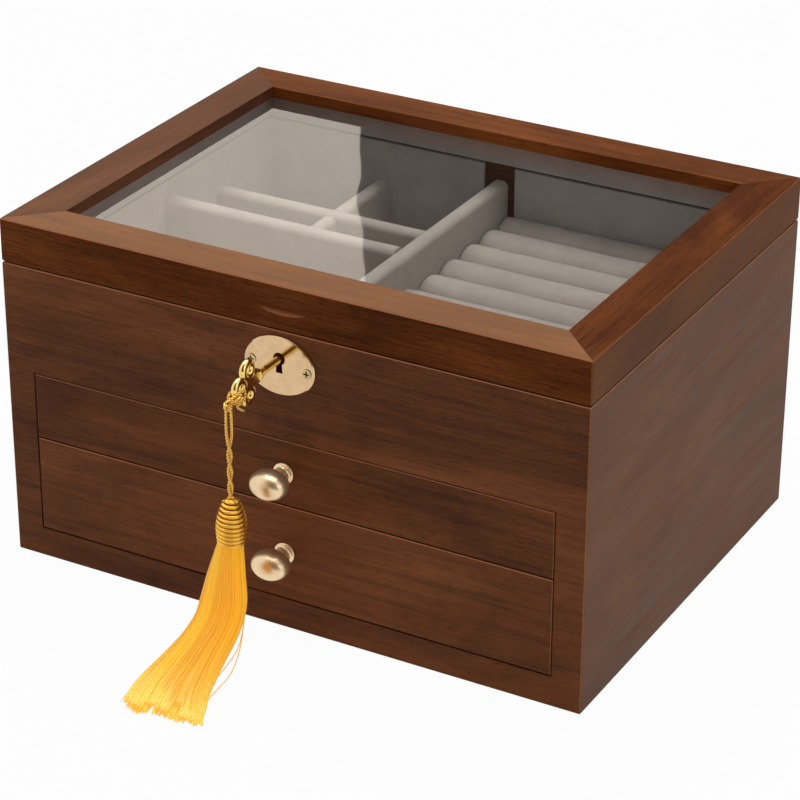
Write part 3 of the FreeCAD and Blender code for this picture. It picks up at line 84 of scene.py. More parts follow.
backward = Vector((sin(AZIMUTH) * cos(ELEVATION), -cos(AZIMUTH) * cos(ELEVATION), sin(ELEVATION)))
level_right = Vector((cos(AZIMUTH), sin(AZIMUTH), 0))
level_up = backward.cross(level_right)
right = cos(ROLL) * level_right + sin(ROLL) * level_up
up = cos(ROLL) * level_up - sin(ROLL) * level_right
lens = bpy.data.cameras.new("photo_lens")
lens.sensor_width = 36
lens.lens = FOCAL_LENGTH
lens.clip_end = 50
camera = into_scene("photo_camera", lens)
turned = Matrix((right, up, backward)).transposed().to_4x4()
camera.matrix_world = Matrix.Translation(CAMERA_PLACE) @ turned
bpy.context.scene.camera = camera
bpy.context.scene.view_settings.view_transform = "Standard"
print("camera looks down by", round(degrees(ELEVATION), 1), "degrees")

# %% [markdown]
# ## Helpers for materials
#
# A material is a small network of nodes. Colours are read off as screen values from 0 to 255 and
# turned into the linear light that the shader works in. `feed` fills or links the sockets of a
# node, and `add` makes a node with its options and feeds it.

# %% Colours and nodes
def rgb(red, green, blue):
    """A colour in linear light, as metals are usually listed."""
    return (red, green, blue, 1.0)


def tone(*screen):
    """A screen colour as linear light."""
    shares = [value / 255 for value in screen]
    return rgb(*(share / 12.92 if share <= 0.04045 else ((share + 0.055) / 1.055) ** 2.4
                 for share in shares))


def feed(node, inputs):
    """Links inputs to other sockets, or gives them plain values."""
    for name, value in inputs.items():
        if isinstance(value, bpy.types.NodeSocket):
            node.id_data.links.new(value, node.inputs[name])
        else:
            node.inputs[name].default_value = value


def add(tree, kind, inputs, **options):
    made = tree.nodes.new(kind)
    for option, value in options.items():
        setattr(made, option, value)
    feed(made, inputs)
    return made


def blank_finish(name, sockets):
    """A new material with its main shader; plain numbers go on the shader's own sockets."""
    material = bpy.data.materials.new(name)
    material.use_nodes = True
    tree = material.node_tree
    shader = tree.nodes["Principled BSDF"]
    feed(shader, sockets)
    return material, tree, shader


print("a middle grey of 128 is", round(tone(128, 128, 128)[0], 3), "in linear light")

# %% [markdown]
# ## Patterns
#
# Real surfaces are never even. Cloudy noise, stretched along an axis where a material has a grain,
# gives their marks. It sits on each piece's own coordinates, so it moves with the piece.

# %% Pattern helpers
def stretched(tree, scale, shift=(0, 0, 0)):
    """Object coordinates, scaled along each axis and shifted."""
    where = add(tree, "ShaderNodeTexCoord", {}).outputs["Object"]
    inputs = {"Vector": where, "Scale": scale, "Location": shift}
    return add(tree, "ShaderNodeMapping", inputs).outputs["Vector"]


def noise(tree, scale, shift=(0, 0, 0), **sockets):
    """Cloudy values from 0 to 1; the larger the scale, the finer the clouds."""
    inputs = {"Vector": stretched(tree, scale, shift), "Scale": 1.0, **sockets}
    return add(tree, "ShaderNodeTexNoise", inputs).outputs["Fac"]


def ramp(tree, factor, *stops):
    """A colour ramp from (place, colour) pairs; a bare number is a grey."""
    made = add(tree, "ShaderNodeValToRGB", {"Fac": factor})
    elements = made.color_ramp.elements
    while len(elements) < len(stops):
        elements.new(0.5)
    for element, (position, colour) in zip(elements, stops):
        element.position = position
        element.color = colour if isinstance(colour, tuple) else (colour, colour, colour, 1)
    return made.outputs["Color"]


def calc(tree, operation, first, second, **options):
    return add(tree, "ShaderNodeMath", {0: first, 1: second}, operation=operation, **options).outputs[0]


def remap(tree, value, low, high, to_low=0.0, to_high=1.0):
    """The range from low to high, turned into another range."""
    inputs = {"Value": value, "From Min": low, "From Max": high, "To Min": to_low, "To Max": to_high}
    return add(tree, "ShaderNodeMapRange", inputs).outputs["Result"]


def blend(tree, share, first, second, mode="MIX"):
    """Two colours mixed by a share."""
    inputs = {0: share, 6: first, 7: second}
    return add(tree, "ShaderNodeMix", inputs, data_type="RGBA", blend_type=mode).outputs[2]


def relief(tree, height, distance, strength):
    """A normal with small relief from a height; the distance is in metres."""
    inputs = {"Height": height, "Distance": distance, "Strength": strength}
    return add(tree, "ShaderNodeBump", inputs).outputs["Normal"]


print("pattern helpers: noise, ramp, calc, remap, blend, relief")

# %% [markdown]
# ## Helpers for shapes
#
# A finished piece keeps its object at the origin and its place in its mesh, like the CAD pieces.
# Most turned or swept shapes are rings of points with faces between them, which one helper draws.
# Modifiers and node trees are applied at once, because a plain mesh is what can be exported.

# %% Shape helpers
def place(name, mesh, *materials, smooth=True):
    """A mesh as an object of the scene, with its finishes."""
    for material in materials:
        mesh.materials.append(material)
    mesh.polygons.foreach_set("use_smooth", [smooth] * len(mesh.polygons))
    return into_scene(name, mesh)


def plain(made):
    """Applies whatever modifiers and nodes a piece carries, and shades it smooth."""
    bpy.context.view_layer.update()
    graph = bpy.context.evaluated_depsgraph_get()
    result = bpy.data.meshes.new_from_object(made.evaluated_get(graph), depsgraph=graph,
                                             preserve_all_data_layers=True)
    made.modifiers.clear()
    made.data = result
    result.polygons.foreach_set("use_smooth", [True] * len(result.polygons))
    return made


def angles(count):
    """Evenly spaced angles round a full turn."""
    return [TURN * index / count for index in range(count)]


def skin(body, rings, closed=False, ends=False):
    """Faces between neighbouring rings of points, turned outwards; a ring of one point is a tip."""
    rings = [[body.verts.new(point) for point in ring] for ring in rings]
    for before, after in zip(rings, rings[1:] + rings[:1] if closed else rings[1:]):
        count = max(len(before), len(after))
        for index in range(count):
            beside = (index + 1) % count
            corners = (before[index % len(before)], after[index % len(after)],
                       after[beside % len(after)], before[beside % len(before)])
            body.faces.new(list(dict.fromkeys(corners)))
    if ends:
        body.faces.new(rings[0][::-1])
        body.faces.new(rings[-1])
    bmesh.ops.recalc_face_normals(body, faces=body.faces)


def mesh_of(body, name):
    mesh = bpy.data.meshes.new(name)
    body.to_mesh(mesh)
    return mesh


def skinned(name, rings, ends=False):
    """A mesh with one skin over its rings."""
    body = bmesh.new()
    skin(body, rings, ends=ends)
    return mesh_of(body, name)


print("shape helpers: place, plain, skin, skinned")

# %% [markdown]
# ## Round bars from lines
#
# Silk threads, plies of cord and gold wire are all thin round bars along lines. Geometry Nodes do
# what repeats: one tree takes plain lines and gives each a round body, at its own size. The
# attribute "thick" on the points scales the radius.

# %% One tree for all bars
bars = bpy.data.node_groups.new("round_bars", "GeometryNodeTree")
for name, kind in (("Geometry", "Geometry"), ("Radius", "Float"), ("Sides", "Int"), ("Finish", "Material")):
    bars.interface.new_socket(name, in_out="INPUT", socket_type="NodeSocket" + kind)
bars.interface.new_socket("Geometry", in_out="OUTPUT", socket_type="NodeSocketGeometry")
given = add(bars, "NodeGroupInput", {}).outputs
named = add(bars, "GeometryNodeInputNamedAttribute", {"Name": "thick"}, data_type="FLOAT")
thick = named.outputs["Attribute"]
curves = add(bars, "GeometryNodeMeshToCurve", {"Mesh": given["Geometry"]}).outputs["Curve"]
sized = add(bars, "GeometryNodeSetCurveRadius", {"Curve": curves, "Radius": thick}).outputs["Curve"]
section = {"Radius": given["Radius"], "Resolution": given["Sides"]}
ring = add(bars, "GeometryNodeCurvePrimitiveCircle", section).outputs["Curve"]
sweep = {"Curve": sized, "Profile Curve": ring, "Scale": thick, "Fill Caps": True}
solid = add(bars, "GeometryNodeCurveToMesh", sweep).outputs["Mesh"]
dressed = add(bars, "GeometryNodeSetMaterial", {"Geometry": solid, "Material": given["Finish"]})
add(bars, "NodeGroupOutput", {"Geometry": dressed.outputs["Geometry"]})
print("one tree, round_bars, with", len(bars.nodes), "nodes")


# %% Bars along lines
def bars_along(name, lines, radius, sides, finish, closed=False, **attributes):
    """Round bars along lines of points. Each attribute holds one number for each point."""
    mesh = bpy.data.meshes.new(name)
    points = [point for line in lines for point in line]
    edges = []
    start = 0
    for line in lines:
        edges += [(start + index, start + index + 1) for index in range(len(line) - 1)]
        if closed:
            edges.append((start + len(line) - 1, start))
        start += len(line)
    mesh.from_pydata(points, edges, [])
    attributes.setdefault("thick", [1.0] * len(points))
    for key, values in attributes.items():
        mesh.attributes.new(key, "FLOAT", "POINT").data.foreach_set("value", values)
    made = place(name, mesh)
    modifier = made.modifiers.new("bars", "NODES")
    modifier.node_group = bars
    settings = {"Radius": radius, "Sides": sides, "Finish": finish}
    for item in bars.interface.items_tree:
        if item.name in settings:
            modifier[item.identifier] = settings[item.name]
    return plain(made)


print("bars take lines, a radius, a number of sides and a finish")

# %% [markdown]
# ## Gold yarn
#
# The cord and the wire on the tassel's head are thread spun round with thin metal foil. Seen close, fine
# slanted lines run round them, bright on their crowns and deep orange between. A wave texture draws those
# lines and raises them a little, and the shader is nearly all metal. The pale crowns are a painted highlight,
# and the deep orange between is partly the yarn's own tone, partly painted shade.

# %% Gold finishes
def metallic_yarn(name, light, deep, lines, metallic):
    """Gold thread; the more lines, the finer its twist."""
    material, tree, shader = blank_finish(
        name, {"Metallic": metallic, "Roughness": 0.30, "Specular IOR Level": 0.6})
    where = stretched(tree, (lines, lines, lines * 1.6))
    wave = {"Vector": where, "Scale": 1.0, "Distortion": 1.2, "Detail": 1.0}
    spin = add(tree, "ShaderNodeTexWave", wave, bands_direction="DIAGONAL").outputs["Fac"]
    # Painted highlight and shade: the wave colours the crowns pale and the grooves between them deep.
    feed(shader, {"Base Color": ramp(tree, spin, (0.15, deep), (0.6, light)),
                  "Normal": relief(tree, spin, 0.06 * MM, 0.7)})
    return material


gold_cord = metallic_yarn("gold_cord_yarn", rgb(1.0, 0.70, 0.18), rgb(0.64, 0.27, 0.02), 620, 0.9)
gold_wire = metallic_yarn("gold_wire_thread", rgb(1.0, 0.655, 0.12), rgb(0.80, 0.385, 0.03), 760, 1.0)
print("gold finishes: 2")

# %% [markdown]
# ## The tassel's cord
#
# A gold cord is folded double, tied to the outermost ring of the key and hangs down as two strands.
# They part a little below the knot and then turn slowly about each other. Each strand is two plies
# of yarn. The route is the one that the model's solids follow, steered by eleven points, and the
# plies wind about the smooth curve through it. A cord this short and taut needs no simulation.

# %% Smooth routes and plies
def smooth_route(points, fineness):
    """Closely spaced points along the smooth curve that a few route points steer."""
    curve = bpy.data.curves.new("route", "CURVE")
    curve.dimensions = "3D"
    curve.resolution_u = fineness
    spline = curve.splines.new("NURBS")
    spline.points.add(len(points) - 1)
    for target, point in zip(spline.points, points):
        target.co = (*point, 1)
    spline.order_u = 3
    spline.use_endpoint_u = True
    carrier = into_scene("route", curve)
    bpy.context.view_layer.update()
    mesh = bpy.data.meshes.new_from_object(carrier)
    line = [vertex.co.copy() for vertex in mesh.vertices]
    bpy.data.objects.remove(carrier)
    bpy.data.meshes.remove(mesh)
    print(len(points), "route points give", len(line), "points")
    return line


def twisted(line, offset, pitch, phase=0.0, closed=False):
    """Two lines that wind about a line, as the plies of a cord do."""
    count = len(line)
    lengths = [0.0]
    for before, after in zip(line, line[1:]):
        lengths.append(lengths[-1] + (after - before).length)
    if closed:
        total = lengths[-1] + (line[0] - line[-1]).length
        pitch = total / max(1, round(total / pitch))
    side = None
    plies = ([], [])
    for index, (point, length) in enumerate(zip(line, lengths)):
        before = line[index - 1] if index or closed else point
        after = line[(index + 1) % count] if index < count - 1 or closed else point
        along = (after - before).normalized()
        if side is None:
            side = along.orthogonal().normalized()
        side = (side - along * side.dot(along)).normalized()
        upward = along.cross(side)
        for ply, start in zip(plies, (phase, phase + pi)):
            angle = start + TURN * length / pitch
            ply.append(point + offset * (cos(angle) * side + sin(angle) * upward))
    return plies


# %% Two strands
HANG = Vector((-2.8, -168.494, 144.799)) * MM
STRAND_TOP = HANG.z - 1.2 * MM
STRAND_FOOT = 95.1 * MM
PLY_RADIUS, PLY_OFFSET, PLY_PITCH = 0.50 * MM, 0.42 * MM, 3.4 * MM
# Height as a share, distance from the middle line in mm and the angle round it, in quarter turns.
STRAND_ROUTE = (
    (1.0, 1.35, 0), (0.86, 1.5, 0), (0.72, 1.3, 0.3), (0.60, 1.0, 1), (0.51, 1.0, 2), (0.42, 1.0, 3),
    (0.33, 1.0, 4), (0.24, 1.0, 5), (0.15, 1.0, 6), (0.07, 0.95, 7), (0.0, 0.9, 7.6),
)


def about_axis(reach, angle, z):
    """A point at a distance and an angle round the tassel's upright axis."""
    return Vector((HANG.x + reach * cos(angle), HANG.y + reach * sin(angle), z))


def strand(name, sign):
    """One strand; the sign puts it left (-1) or right (1) of the middle line."""
    line = smooth_route([
        about_axis(sign * reach * MM, quarters * pi / 2, STRAND_FOOT + (STRAND_TOP - STRAND_FOOT) * share)
        for share, reach, quarters in STRAND_ROUTE], fineness=16)
    plies = twisted(line, PLY_OFFSET, PLY_PITCH, phase=0.8 * sign)
    made = bars_along(name, plies, PLY_RADIUS, 8, gold_cord)
    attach(made, "tassel")
    return made


for made in (strand("left_strand", -1), strand("right_strand", 1)):
    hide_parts("tassel_cord")

# %% [markdown]
# ## The hitch on the key
#
# The folded cord goes twice through the key's outermost ring and round its rim, one end of it is
# left loose, and a small wrapped knot holds the two strands. The loops turn with the key and the
# knot swings between key and tassel, so they are pieces on two bodies. All are the same two-ply
# rope, laid along circles, a few route points or a short spiral.

# %% Hitch on the key
TIP_LOBE = Vector((-0.8 * MM, -162.4 * MM, 151.8 * MM))
RIM_MIDDLE = 4.25 * MM
HITCH_SLOPE = radians(42)
HITCH_RING, HITCH_POINTS = 2.85 * MM, 72
# Shift along the rim in mm and lean of each of the two loops.
HITCH_LOOPS = ((-0.95, -0.12), (0.95, 0.14))
outward = Vector((0, -cos(HITCH_SLOPE), -sin(HITCH_SLOPE)))
rimward = Vector((0, -sin(HITCH_SLOPE), cos(HITCH_SLOPE)))


def rope(name, lines, ply_radius, pitch, closed=False, body=""):
    """Two-ply gold rope along each line."""
    plies = [ply for line in lines for ply in twisted(line, ply_radius * 0.8, pitch, closed=closed)]
    made = bars_along(name, plies, ply_radius, 8, gold_cord, closed=closed)
    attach(made, body)
    return made


hitch_middle = TIP_LOBE + outward * RIM_MIDDLE
hitch_rings = []
for shift, lean in HITCH_LOOPS:
    middle = hitch_middle + rimward * shift * MM
    tilted = (outward + lean * rimward).normalized()
    hitch_rings.append([middle + HITCH_RING * (cos(turn) * tilted + sin(turn) * Vector((1, 0, 0)))
                        for turn in angles(HITCH_POINTS)])
hitch = rope("key_hitch", hitch_rings, 0.50 * MM, 4.2 * MM, closed=True, body="key")
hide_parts("cord_loop")
print("hitch of", len(hitch_rings), "loops")

# %% Loose end and knot
# Across, out and up in mm: from the knot up through the ring, over its rim and down to a loose end.
LOOSE_ROUTE = (
    (-2.0, -172.1, 148.6), (0.5, -169.4, 150.4), (1.6, -164.9, 151.4), (1.8, -162.0, 153.1),
    (2.2, -161.0, 149.8), (2.3, -161.7, 147.0), (2.0, -164.5, 145.2), (1.6, -168.3, 145.7),
    (1.8, -166.0, 143.2), (2.0, -162.6, 140.9),
)
KNOT_TURNS = 3
KNOT_STEPS = KNOT_TURNS * 40
KNOT_WIDE, KNOT_DEEP, KNOT_HIGH = 1.75 * MM, 1.45 * MM, 3.0 * MM
loose_line = smooth_route([Vector(point) * MM for point in LOOSE_ROUTE], fineness=10)
rope("hitch_loose_end", [loose_line], 0.40 * MM, 3.4 * MM, body="key")
knot_line = []
for index in range(KNOT_STEPS + 1):
    share = index / KNOT_STEPS
    turn = TURN * KNOT_TURNS * share
    knot_line.append(HANG + Vector((KNOT_WIDE * cos(turn), KNOT_DEEP * sin(turn), (0.5 - share) * KNOT_HIGH)))
knot = rope("hitch_knot", [knot_line], 0.46 * MM, 4.0 * MM, body="cord_fold")
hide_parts("cord_fold")
print("a loose end, and a knot of", KNOT_TURNS, "turns")

# %% [markdown]
# ## The tassel's wound head
#
# Gold wire thread is wound tightly round the top of the tassel, from a narrow neck over a fuller
# belly, with a finer wire in the grooves between its turns. A long round bar along a spiral gives
# each turn its own shade and the dark gaps beside it. The spiral's radius follows the same beehive
# shape as the model's solid.

# %% Wound head
HEAD_TOP, HEAD_BOTTOM = 95.0 * MM, 71.0 * MM
HEAD_TOP_RADIUS, HEAD_BELLY_RADIUS, HEAD_BOTTOM_RADIUS = 3.8 * MM, 8.0 * MM, 7.3 * MM
BELLY_SHARE = 0.36
WIRE_RADIUS = 0.9 * MM
WIRE_TURNS = 10
TURN_STEPS, CLOSING_STEPS = 56, 84
WIDE_WIRE, FINE_WIRE, GROOVE_DROP = 0.82, 0.46, 1.12 * MM


def head_radius(z):
    """Outer radius of the wound head: a beehive, widest below its middle."""
    belly = HEAD_BOTTOM + (HEAD_TOP - HEAD_BOTTOM) * BELLY_SHARE
    end, narrow = (HEAD_TOP, HEAD_TOP_RADIUS) if z > belly else (HEAD_BOTTOM, HEAD_BOTTOM_RADIUS)
    return narrow + (HEAD_BELLY_RADIUS - narrow) * cos((z - belly) / (end - belly) * pi / 2)


wire_line = []
for index in range(-CLOSING_STEPS, WIRE_TURNS * TURN_STEPS + 1):
    turns = index / TURN_STEPS
    z = HEAD_TOP - WIRE_RADIUS - (HEAD_TOP - HEAD_BOTTOM - 2 * WIRE_RADIUS) * turns / WIRE_TURNS
    reach = head_radius(z) - WIRE_RADIUS
    if index < 0:
        # A turn and a half close the top round the cord.
        reach = (2.8 + 0.85 * turns) * MM
        z = HEAD_TOP - (1.0 + 0.35 * turns) * MM
    wire_line.append(about_axis(reach, TURN * turns, z))
fine_line = []
for index, point in enumerate(wire_line):
    away = Vector((point.x - HANG.x, point.y - HANG.y, 0)).normalized()
    ripple = 0.16 * sin(index * 1.9)
    fine_line.append(point - away * (0.5 + ripple) * MM - Vector((0, 0, GROOVE_DROP)))
widths = [WIDE_WIRE + 0.05 * sin(index * 0.9) for index in range(len(wire_line))]
widths += [FINE_WIRE] * len(fine_line)
winding = bars_along("wound_head", [wire_line, fine_line], MM, 10, gold_wire, thick=widths)
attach(winding, "tassel")
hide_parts("tassel_winding")
print("wound head of", WIRE_TURNS, "turns,", len(winding.data.polygons), "faces")

# %% [markdown]
# ## Silk
#
# The skirt is yellow rayon silk: deep orange-yellow at the head, where the threads lie close, and paler
# towards the tips. Two attributes steer that, a thread's place along the skirt and its shade, which holds its
# own random tone and the painted shade of threads that lie deep. Light passes through such threads; a faint
# glow of their own colour stands in for it, painted light that shines without a lamp.

# %% Silk finish
# Painted light: the emission makes the silk glow in its own colour.
silk, tree, shader = blank_finish("gold_silk", {
    "Roughness": 0.40, "Sheen Weight": 0.8, "Sheen Roughness": 0.3, "Sheen Tint": rgb(1.0, 0.72, 0.25),
    "Specular IOR Level": 0.55, "Emission Strength": 0.35})
along, shade = (add(tree, "ShaderNodeAttribute", {}, attribute_name=name).outputs["Fac"]
                for name in ("along", "shade"))
body_colour = ramp(tree, along, (0.0, tone(255, 196, 34)), (0.35, tone(255, 196, 43)),
                   (0.75, tone(251, 205, 68)), (1.0, tone(248, 215, 98)))
# Low shade values darken the silk: each thread's own random tone together with painted shade.
dimmed = ramp(tree, shade, (0.0, tone(232, 196, 160)), (0.45, tone(248, 240, 232)), (1.0, 1.0))
silk_colour = blend(tree, 1.0, body_colour, dimmed, "MULTIPLY")
fibres = noise(tree, (1800,) * 3, Detail=2.0)
feed(shader, {"Base Color": silk_colour, "Emission Color": silk_colour,
              "Normal": relief(tree, fibres, 0.1 * MM, 1.0)})
print("silk:", len(tree.nodes), "nodes")

# %% [markdown]
# ## The tassel's skirt
#
# Several hundred silky threads leave the head, hang down and fan out over the table towards the
# camera. The bundle follows a route of nine oval sections, and every thread keeps its place in
# those ovals. Nothing here is simulated, because the threads' rest lies in the photograph.

# %% Route of the bundle
# Middle across and out from the head's axis, height, width and thickness, all in mm.
SKIRT_ROUTE = (
    (-0.6, 0.0, 71.4, 12.0, 12.4), (-1.4, -3.2, 52.8, 20.5, 13.5), (-1.8, -5.4, 40.7, 24.9, 14),
    (-2.3, -12.0, 29.7, 25.8, 14), (-5.1, -21.2, 20.0, 28.0, 13), (-7.7, -30.5, 12.4, 33.5, 11),
    (-9.3, -43.0, 6.2, 41.0, 8.5), (-7.4, -54.5, 3.6, 44.5, 6), (-5.8, -62.0, 2.6, 47, 4),
)
head_axis = Vector((HANG.x, HANG.y, 0))


def skirt_at(share):
    """Middle, half width and half thickness of the bundle at a share of its length."""
    last = len(SKIRT_ROUTE) - 1
    at = min(share, 1.0) * last
    low = min(int(at), last - 1)
    part = at - low
    rows = [SKIRT_ROUTE[max(0, min(last, low + step))] for step in (-1, 0, 1, 2)]
    x, y, z, width, thickness = (
        0.5 * (2 * b + (c - a) * part + (2 * a - 5 * b + 4 * c - d) * part ** 2
               + (3 * b - a - 3 * c + d) * part ** 3) for a, b, c, d in zip(*rows))
    return head_axis + Vector((x, y, z)) * MM, width * MM / 2, thickness * MM / 2


def skirt_frame(share):
    """Middle, across, rise, half width and half thickness of the oval at a share of the length."""
    middle, half_width, half_thick = skirt_at(share)
    along = (skirt_at(min(1.0, share + 0.02))[0] - skirt_at(max(0.0, share - 0.02))[0]).normalized()
    across = Vector((1, 0, 0))
    across = (across - along * across.dot(along)).normalized()
    return middle, across, across.cross(along), half_width, half_thick


print("skirt route of", len(SKIRT_ROUTE), "ovals")

# %% Points in the bundle
STATIONS = 27
frames = [skirt_frame(index / (STATIONS - 1)) for index in range(STATIONS)]


def on_oval(oval, out, turn, lowest):
    """A point of an oval at a distance and an angle from its middle, kept off the table."""
    middle, across, rise, half_width, half_thick = oval
    point = middle + across * (half_width * out * cos(turn)) + rise * (half_thick * out * sin(turn))
    point.z = max(point.z, lowest)
    return point


def in_bundle(share, turn, out):
    """The point of the bundle at a share of its length, an angle and a distance from its middle."""
    at = share * (STATIONS - 1)
    low = min(int(at), STATIONS - 2)
    part = at - low
    here, there = frames[low], frames[low + 1]
    axes = [here[index].lerp(there[index], part) for index in range(3)]
    halves = [here[index] + (there[index] - here[index]) * part for index in (3, 4)]
    return on_oval(axes + halves, out, turn, 0.45 * MM)


print("tips lie", round((HANG.y - frames[-1][0].y) / MM), "mm in front of the head")

# %% [markdown]
# ## Threads
#
# Silk clings together in locks, so each thread is drawn towards the nearest of a few locks on its way down,
# sways a little and ends at its own length, shorter on the left. Threads between two locks and near the
# middle of the bundle lie deeper and are darkened with painted shade, which fades to one paler value at the
# tips. A few stray threads stand off at the right, also darkened with painted shade.

# %% Threads of the skirt
THREADS, LOCKS, STRAYS = 520, 17, 3
TIPS_FROM, TIP_SHADE = 0.84, 0.75
chance = random.Random(11)
locks = [(chance.uniform(0, TURN), chance.uniform(0.93, 1.0)) for _ in range(LOCKS)]
lines, alongs, shades, thicks = [], [], [], []
for thread in range(THREADS):
    angle = chance.uniform(0, TURN)
    depth = sqrt(chance.uniform(0.65, 1.0)) if thread % 4 else sqrt(chance.uniform(0, 1))
    lock_angle, lock_reach = min(locks, key=lambda lock: abs(remainder(lock[0] - angle, TURN)))
    away = remainder(lock_angle - angle, TURN)
    wander = [chance.uniform(0, 6.28) for _ in range(2)]
    reach = lock_reach * chance.uniform(0.96, 1.0) if thread % 7 else chance.uniform(0.88, 0.96)
    reach *= 1 - 0.12 * ((1 - depth * cos(angle)) / 2) ** 2
    # Painted shade: threads between two locks are darkened, on top of a random tone of their own.
    tone_and_gap_shade = chance.uniform(0.45, 1.0) - min(0.45, 2.4 * abs(away))
    # Painted shade: threads nearer the middle of the bundle are darkened.
    shading = min(1.0, max(0.0, tone_and_gap_shade * (0.6 + 0.4 * depth)))
    pull = away * chance.uniform(0.1, 0.4)
    line = []
    for index in range(STATIONS):
        share = index / (STATIONS - 1) * reach
        sway = 0.022 * sin(7 * share + wander[0]) + 0.012 * sin(13 * share + wander[1])
        line.append(in_bundle(share, angle + pull * share ** 2, (depth + sway * share) * 0.985))
        alongs.append(share / reach)
        tip = max(0.0, share / reach - TIPS_FROM) / (1 - TIPS_FROM)
        shades.append(shading + (TIP_SHADE - shading) * tip)
    thicks += [1.0] * (STATIONS - 1) + [0.6]
    lines.append(line)
for stray in range(STRAYS):
    line = []
    for index in range(STATIONS):
        share = index / (STATIONS - 1)
        off = sin(pi * min(1.0, max(0.0, (share - 0.27) / 0.5))) ** 2
        point = in_bundle(share * (0.99 - 0.13 * stray), 0.1 - 0.2 * stray, 0.97 - 0.02 * stray)
        line.append(point + Vector((6.6 - 1.9 * stray, -0.6, 0.5 * stray)) * MM * off)
    alongs += [0.7] * STATIONS
    # Painted shade: the stray threads are darkened.
    shades += [0.3] * STATIONS
    thicks += [0.75] * STATIONS
    lines.append(line)
threads = bars_along("skirt_threads", lines, 0.36 * MM, 5, silk, along=alongs, shade=shades, thick=thicks)
print(len(lines), "threads,", len(threads.data.polygons), "faces")

# %% [markdown]
# ## The skirt's core
#
# Light must not shine through the bundle, and filling it with threads would take thousands. An inner core of
# the same form, a little smaller and tapered towards the tips, does it with one skin of rings.

# %% Core and whole skirt
CORE_END, CORE_SHARE, CORE_SIDES = 0.84, 0.86, 40
core_rings = []
core_along = []
for index in range(STATIONS):
    share = CORE_END * index / (STATIONS - 1)
    inner = CORE_SHARE - 0.5 * max(0.0, (share - 0.6) / (CORE_END - 0.6)) ** 3
    core_rings.append([on_oval(skirt_frame(share), inner, turn, 0.3 * MM) for turn in angles(CORE_SIDES)])
    core_along += [share] * CORE_SIDES
core_mesh = skinned("skirt_core", core_rings, ends=True)
# Painted shade: the core is darkened, standing in for the inner threads.
for key, values in (("along", core_along), ("shade", [0.3] * len(core_along))):
    core_mesh.attributes.new(key, "FLOAT", "POINT").data.foreach_set("value", values)
skirt = threads
pieces = [skirt, place("skirt_core", core_mesh, silk)]
with bpy.context.temp_override(active_object=skirt, selected_editable_objects=pieces):
    bpy.ops.object.join()
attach(skirt, "tassel")
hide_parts("tassel_skirt")
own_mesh(skirt)
print("skirt of", THREADS, "threads,", len(skirt.data.polygons), "faces")

# %% [markdown]
# ## The key
#
# The key is one brass casting: a trefoil bow of three pierced rings, a flared root, a round shaft
# and a small bit. Rings, bars and blocks are laid over each other and then melted into one skin by
# a voxel remesh and a little smoothing, which gives the soft inner corners that a casting has.

# %% Parts of the key
KEY_ACROSS, KEY_UP = -0.8, 151.8


def ring_body(major, minor, steps=64, sides=20):
    """A ring about the X axis, a little flattened along it."""
    def make(piece):
        section = [(major + minor * cos(angle), minor * 0.92 * sin(angle)) for angle in angles(sides)]
        skin(piece, [[(flat, reach * cos(turn), reach * sin(turn)) for reach, flat in section]
                     for turn in angles(steps)], closed=True)
    return make


def round_body(length, start, end):
    """A round bar along Y, from radius start to radius end."""
    def make(piece):
        bmesh.ops.create_cone(piece, cap_ends=True, segments=32, radius1=start, radius2=end, depth=length,
                              matrix=Matrix.Rotation(radians(90), 4, "X"))
    return make


def block_body(x, y, z):
    def make(piece):
        bmesh.ops.create_cube(piece, size=1, matrix=Matrix.Diagonal((x, y, z, 1)))
    return make


def solid_of(parts):
    """One bmesh of simple bodies, each with its place along the key and its rise, in mm."""
    body = bmesh.new()
    for make, out, rise in parts:
        piece = bmesh.new()
        make(piece)
        middle = (KEY_ACROSS * MM, out * MM, (KEY_UP + rise) * MM)
        bmesh.ops.transform(piece, matrix=Matrix.Translation(middle), verts=piece.verts)
        carrier = mesh_of(piece, "carrier")
        piece.free()
        body.from_mesh(carrier)
        bpy.data.meshes.remove(carrier)
    return body


print("the key is built from rings, round bars and blocks")

# %% Key
lobe = ring_body(3.75 * MM, 2.05 * MM)
key_parts = [
    (lobe, -154.6, 6.6),
    (lobe, -154.6, -6.6),
    (lobe, -162.0, 0),
    (round_body(30.0 * MM, 2 * MM, 2 * MM), -129.4, 0),
    (round_body(5.5 * MM, 2.1 * MM, 3.3 * MM), -143.2, 0),
    (block_body(3.4 * MM, 9.0 * MM, 6.4 * MM), -148.8, 0),
    (block_body(3.0 * MM, 6.0 * MM, 4.2 * MM), -155.4, 0),
    (block_body(1.6 * MM, 3 * MM, 5.3 * MM), -115.8, -2.85),
]
cast_key = place("cast_key", mesh_of(solid_of(key_parts), "cast_key"))
melt = cast_key.modifiers.new("melt", "REMESH")
melt.mode = "VOXEL"
melt.voxel_size = 0.28 * MM
soften = cast_key.modifiers.new("soften", "SMOOTH")
soften.factor = 0.5
soften.iterations = 8
plain(cast_key)
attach(cast_key, "key")
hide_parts("key")
print("key of", len(cast_key.data.polygons), "faces")

# %% [markdown]
# ## The drawer knobs
#
# Each drawer is pulled by an oval knob of brushed, champagne-coloured metal: a stepped foot against
# the wood, a narrow neck, and a flattened ball that is wider than it is high. A lathe gives the
# round foot and neck, and the same profile is stretched sideways only where it becomes the ball.

# %% Knobs
BALL_WIDE = 21 / 15.5
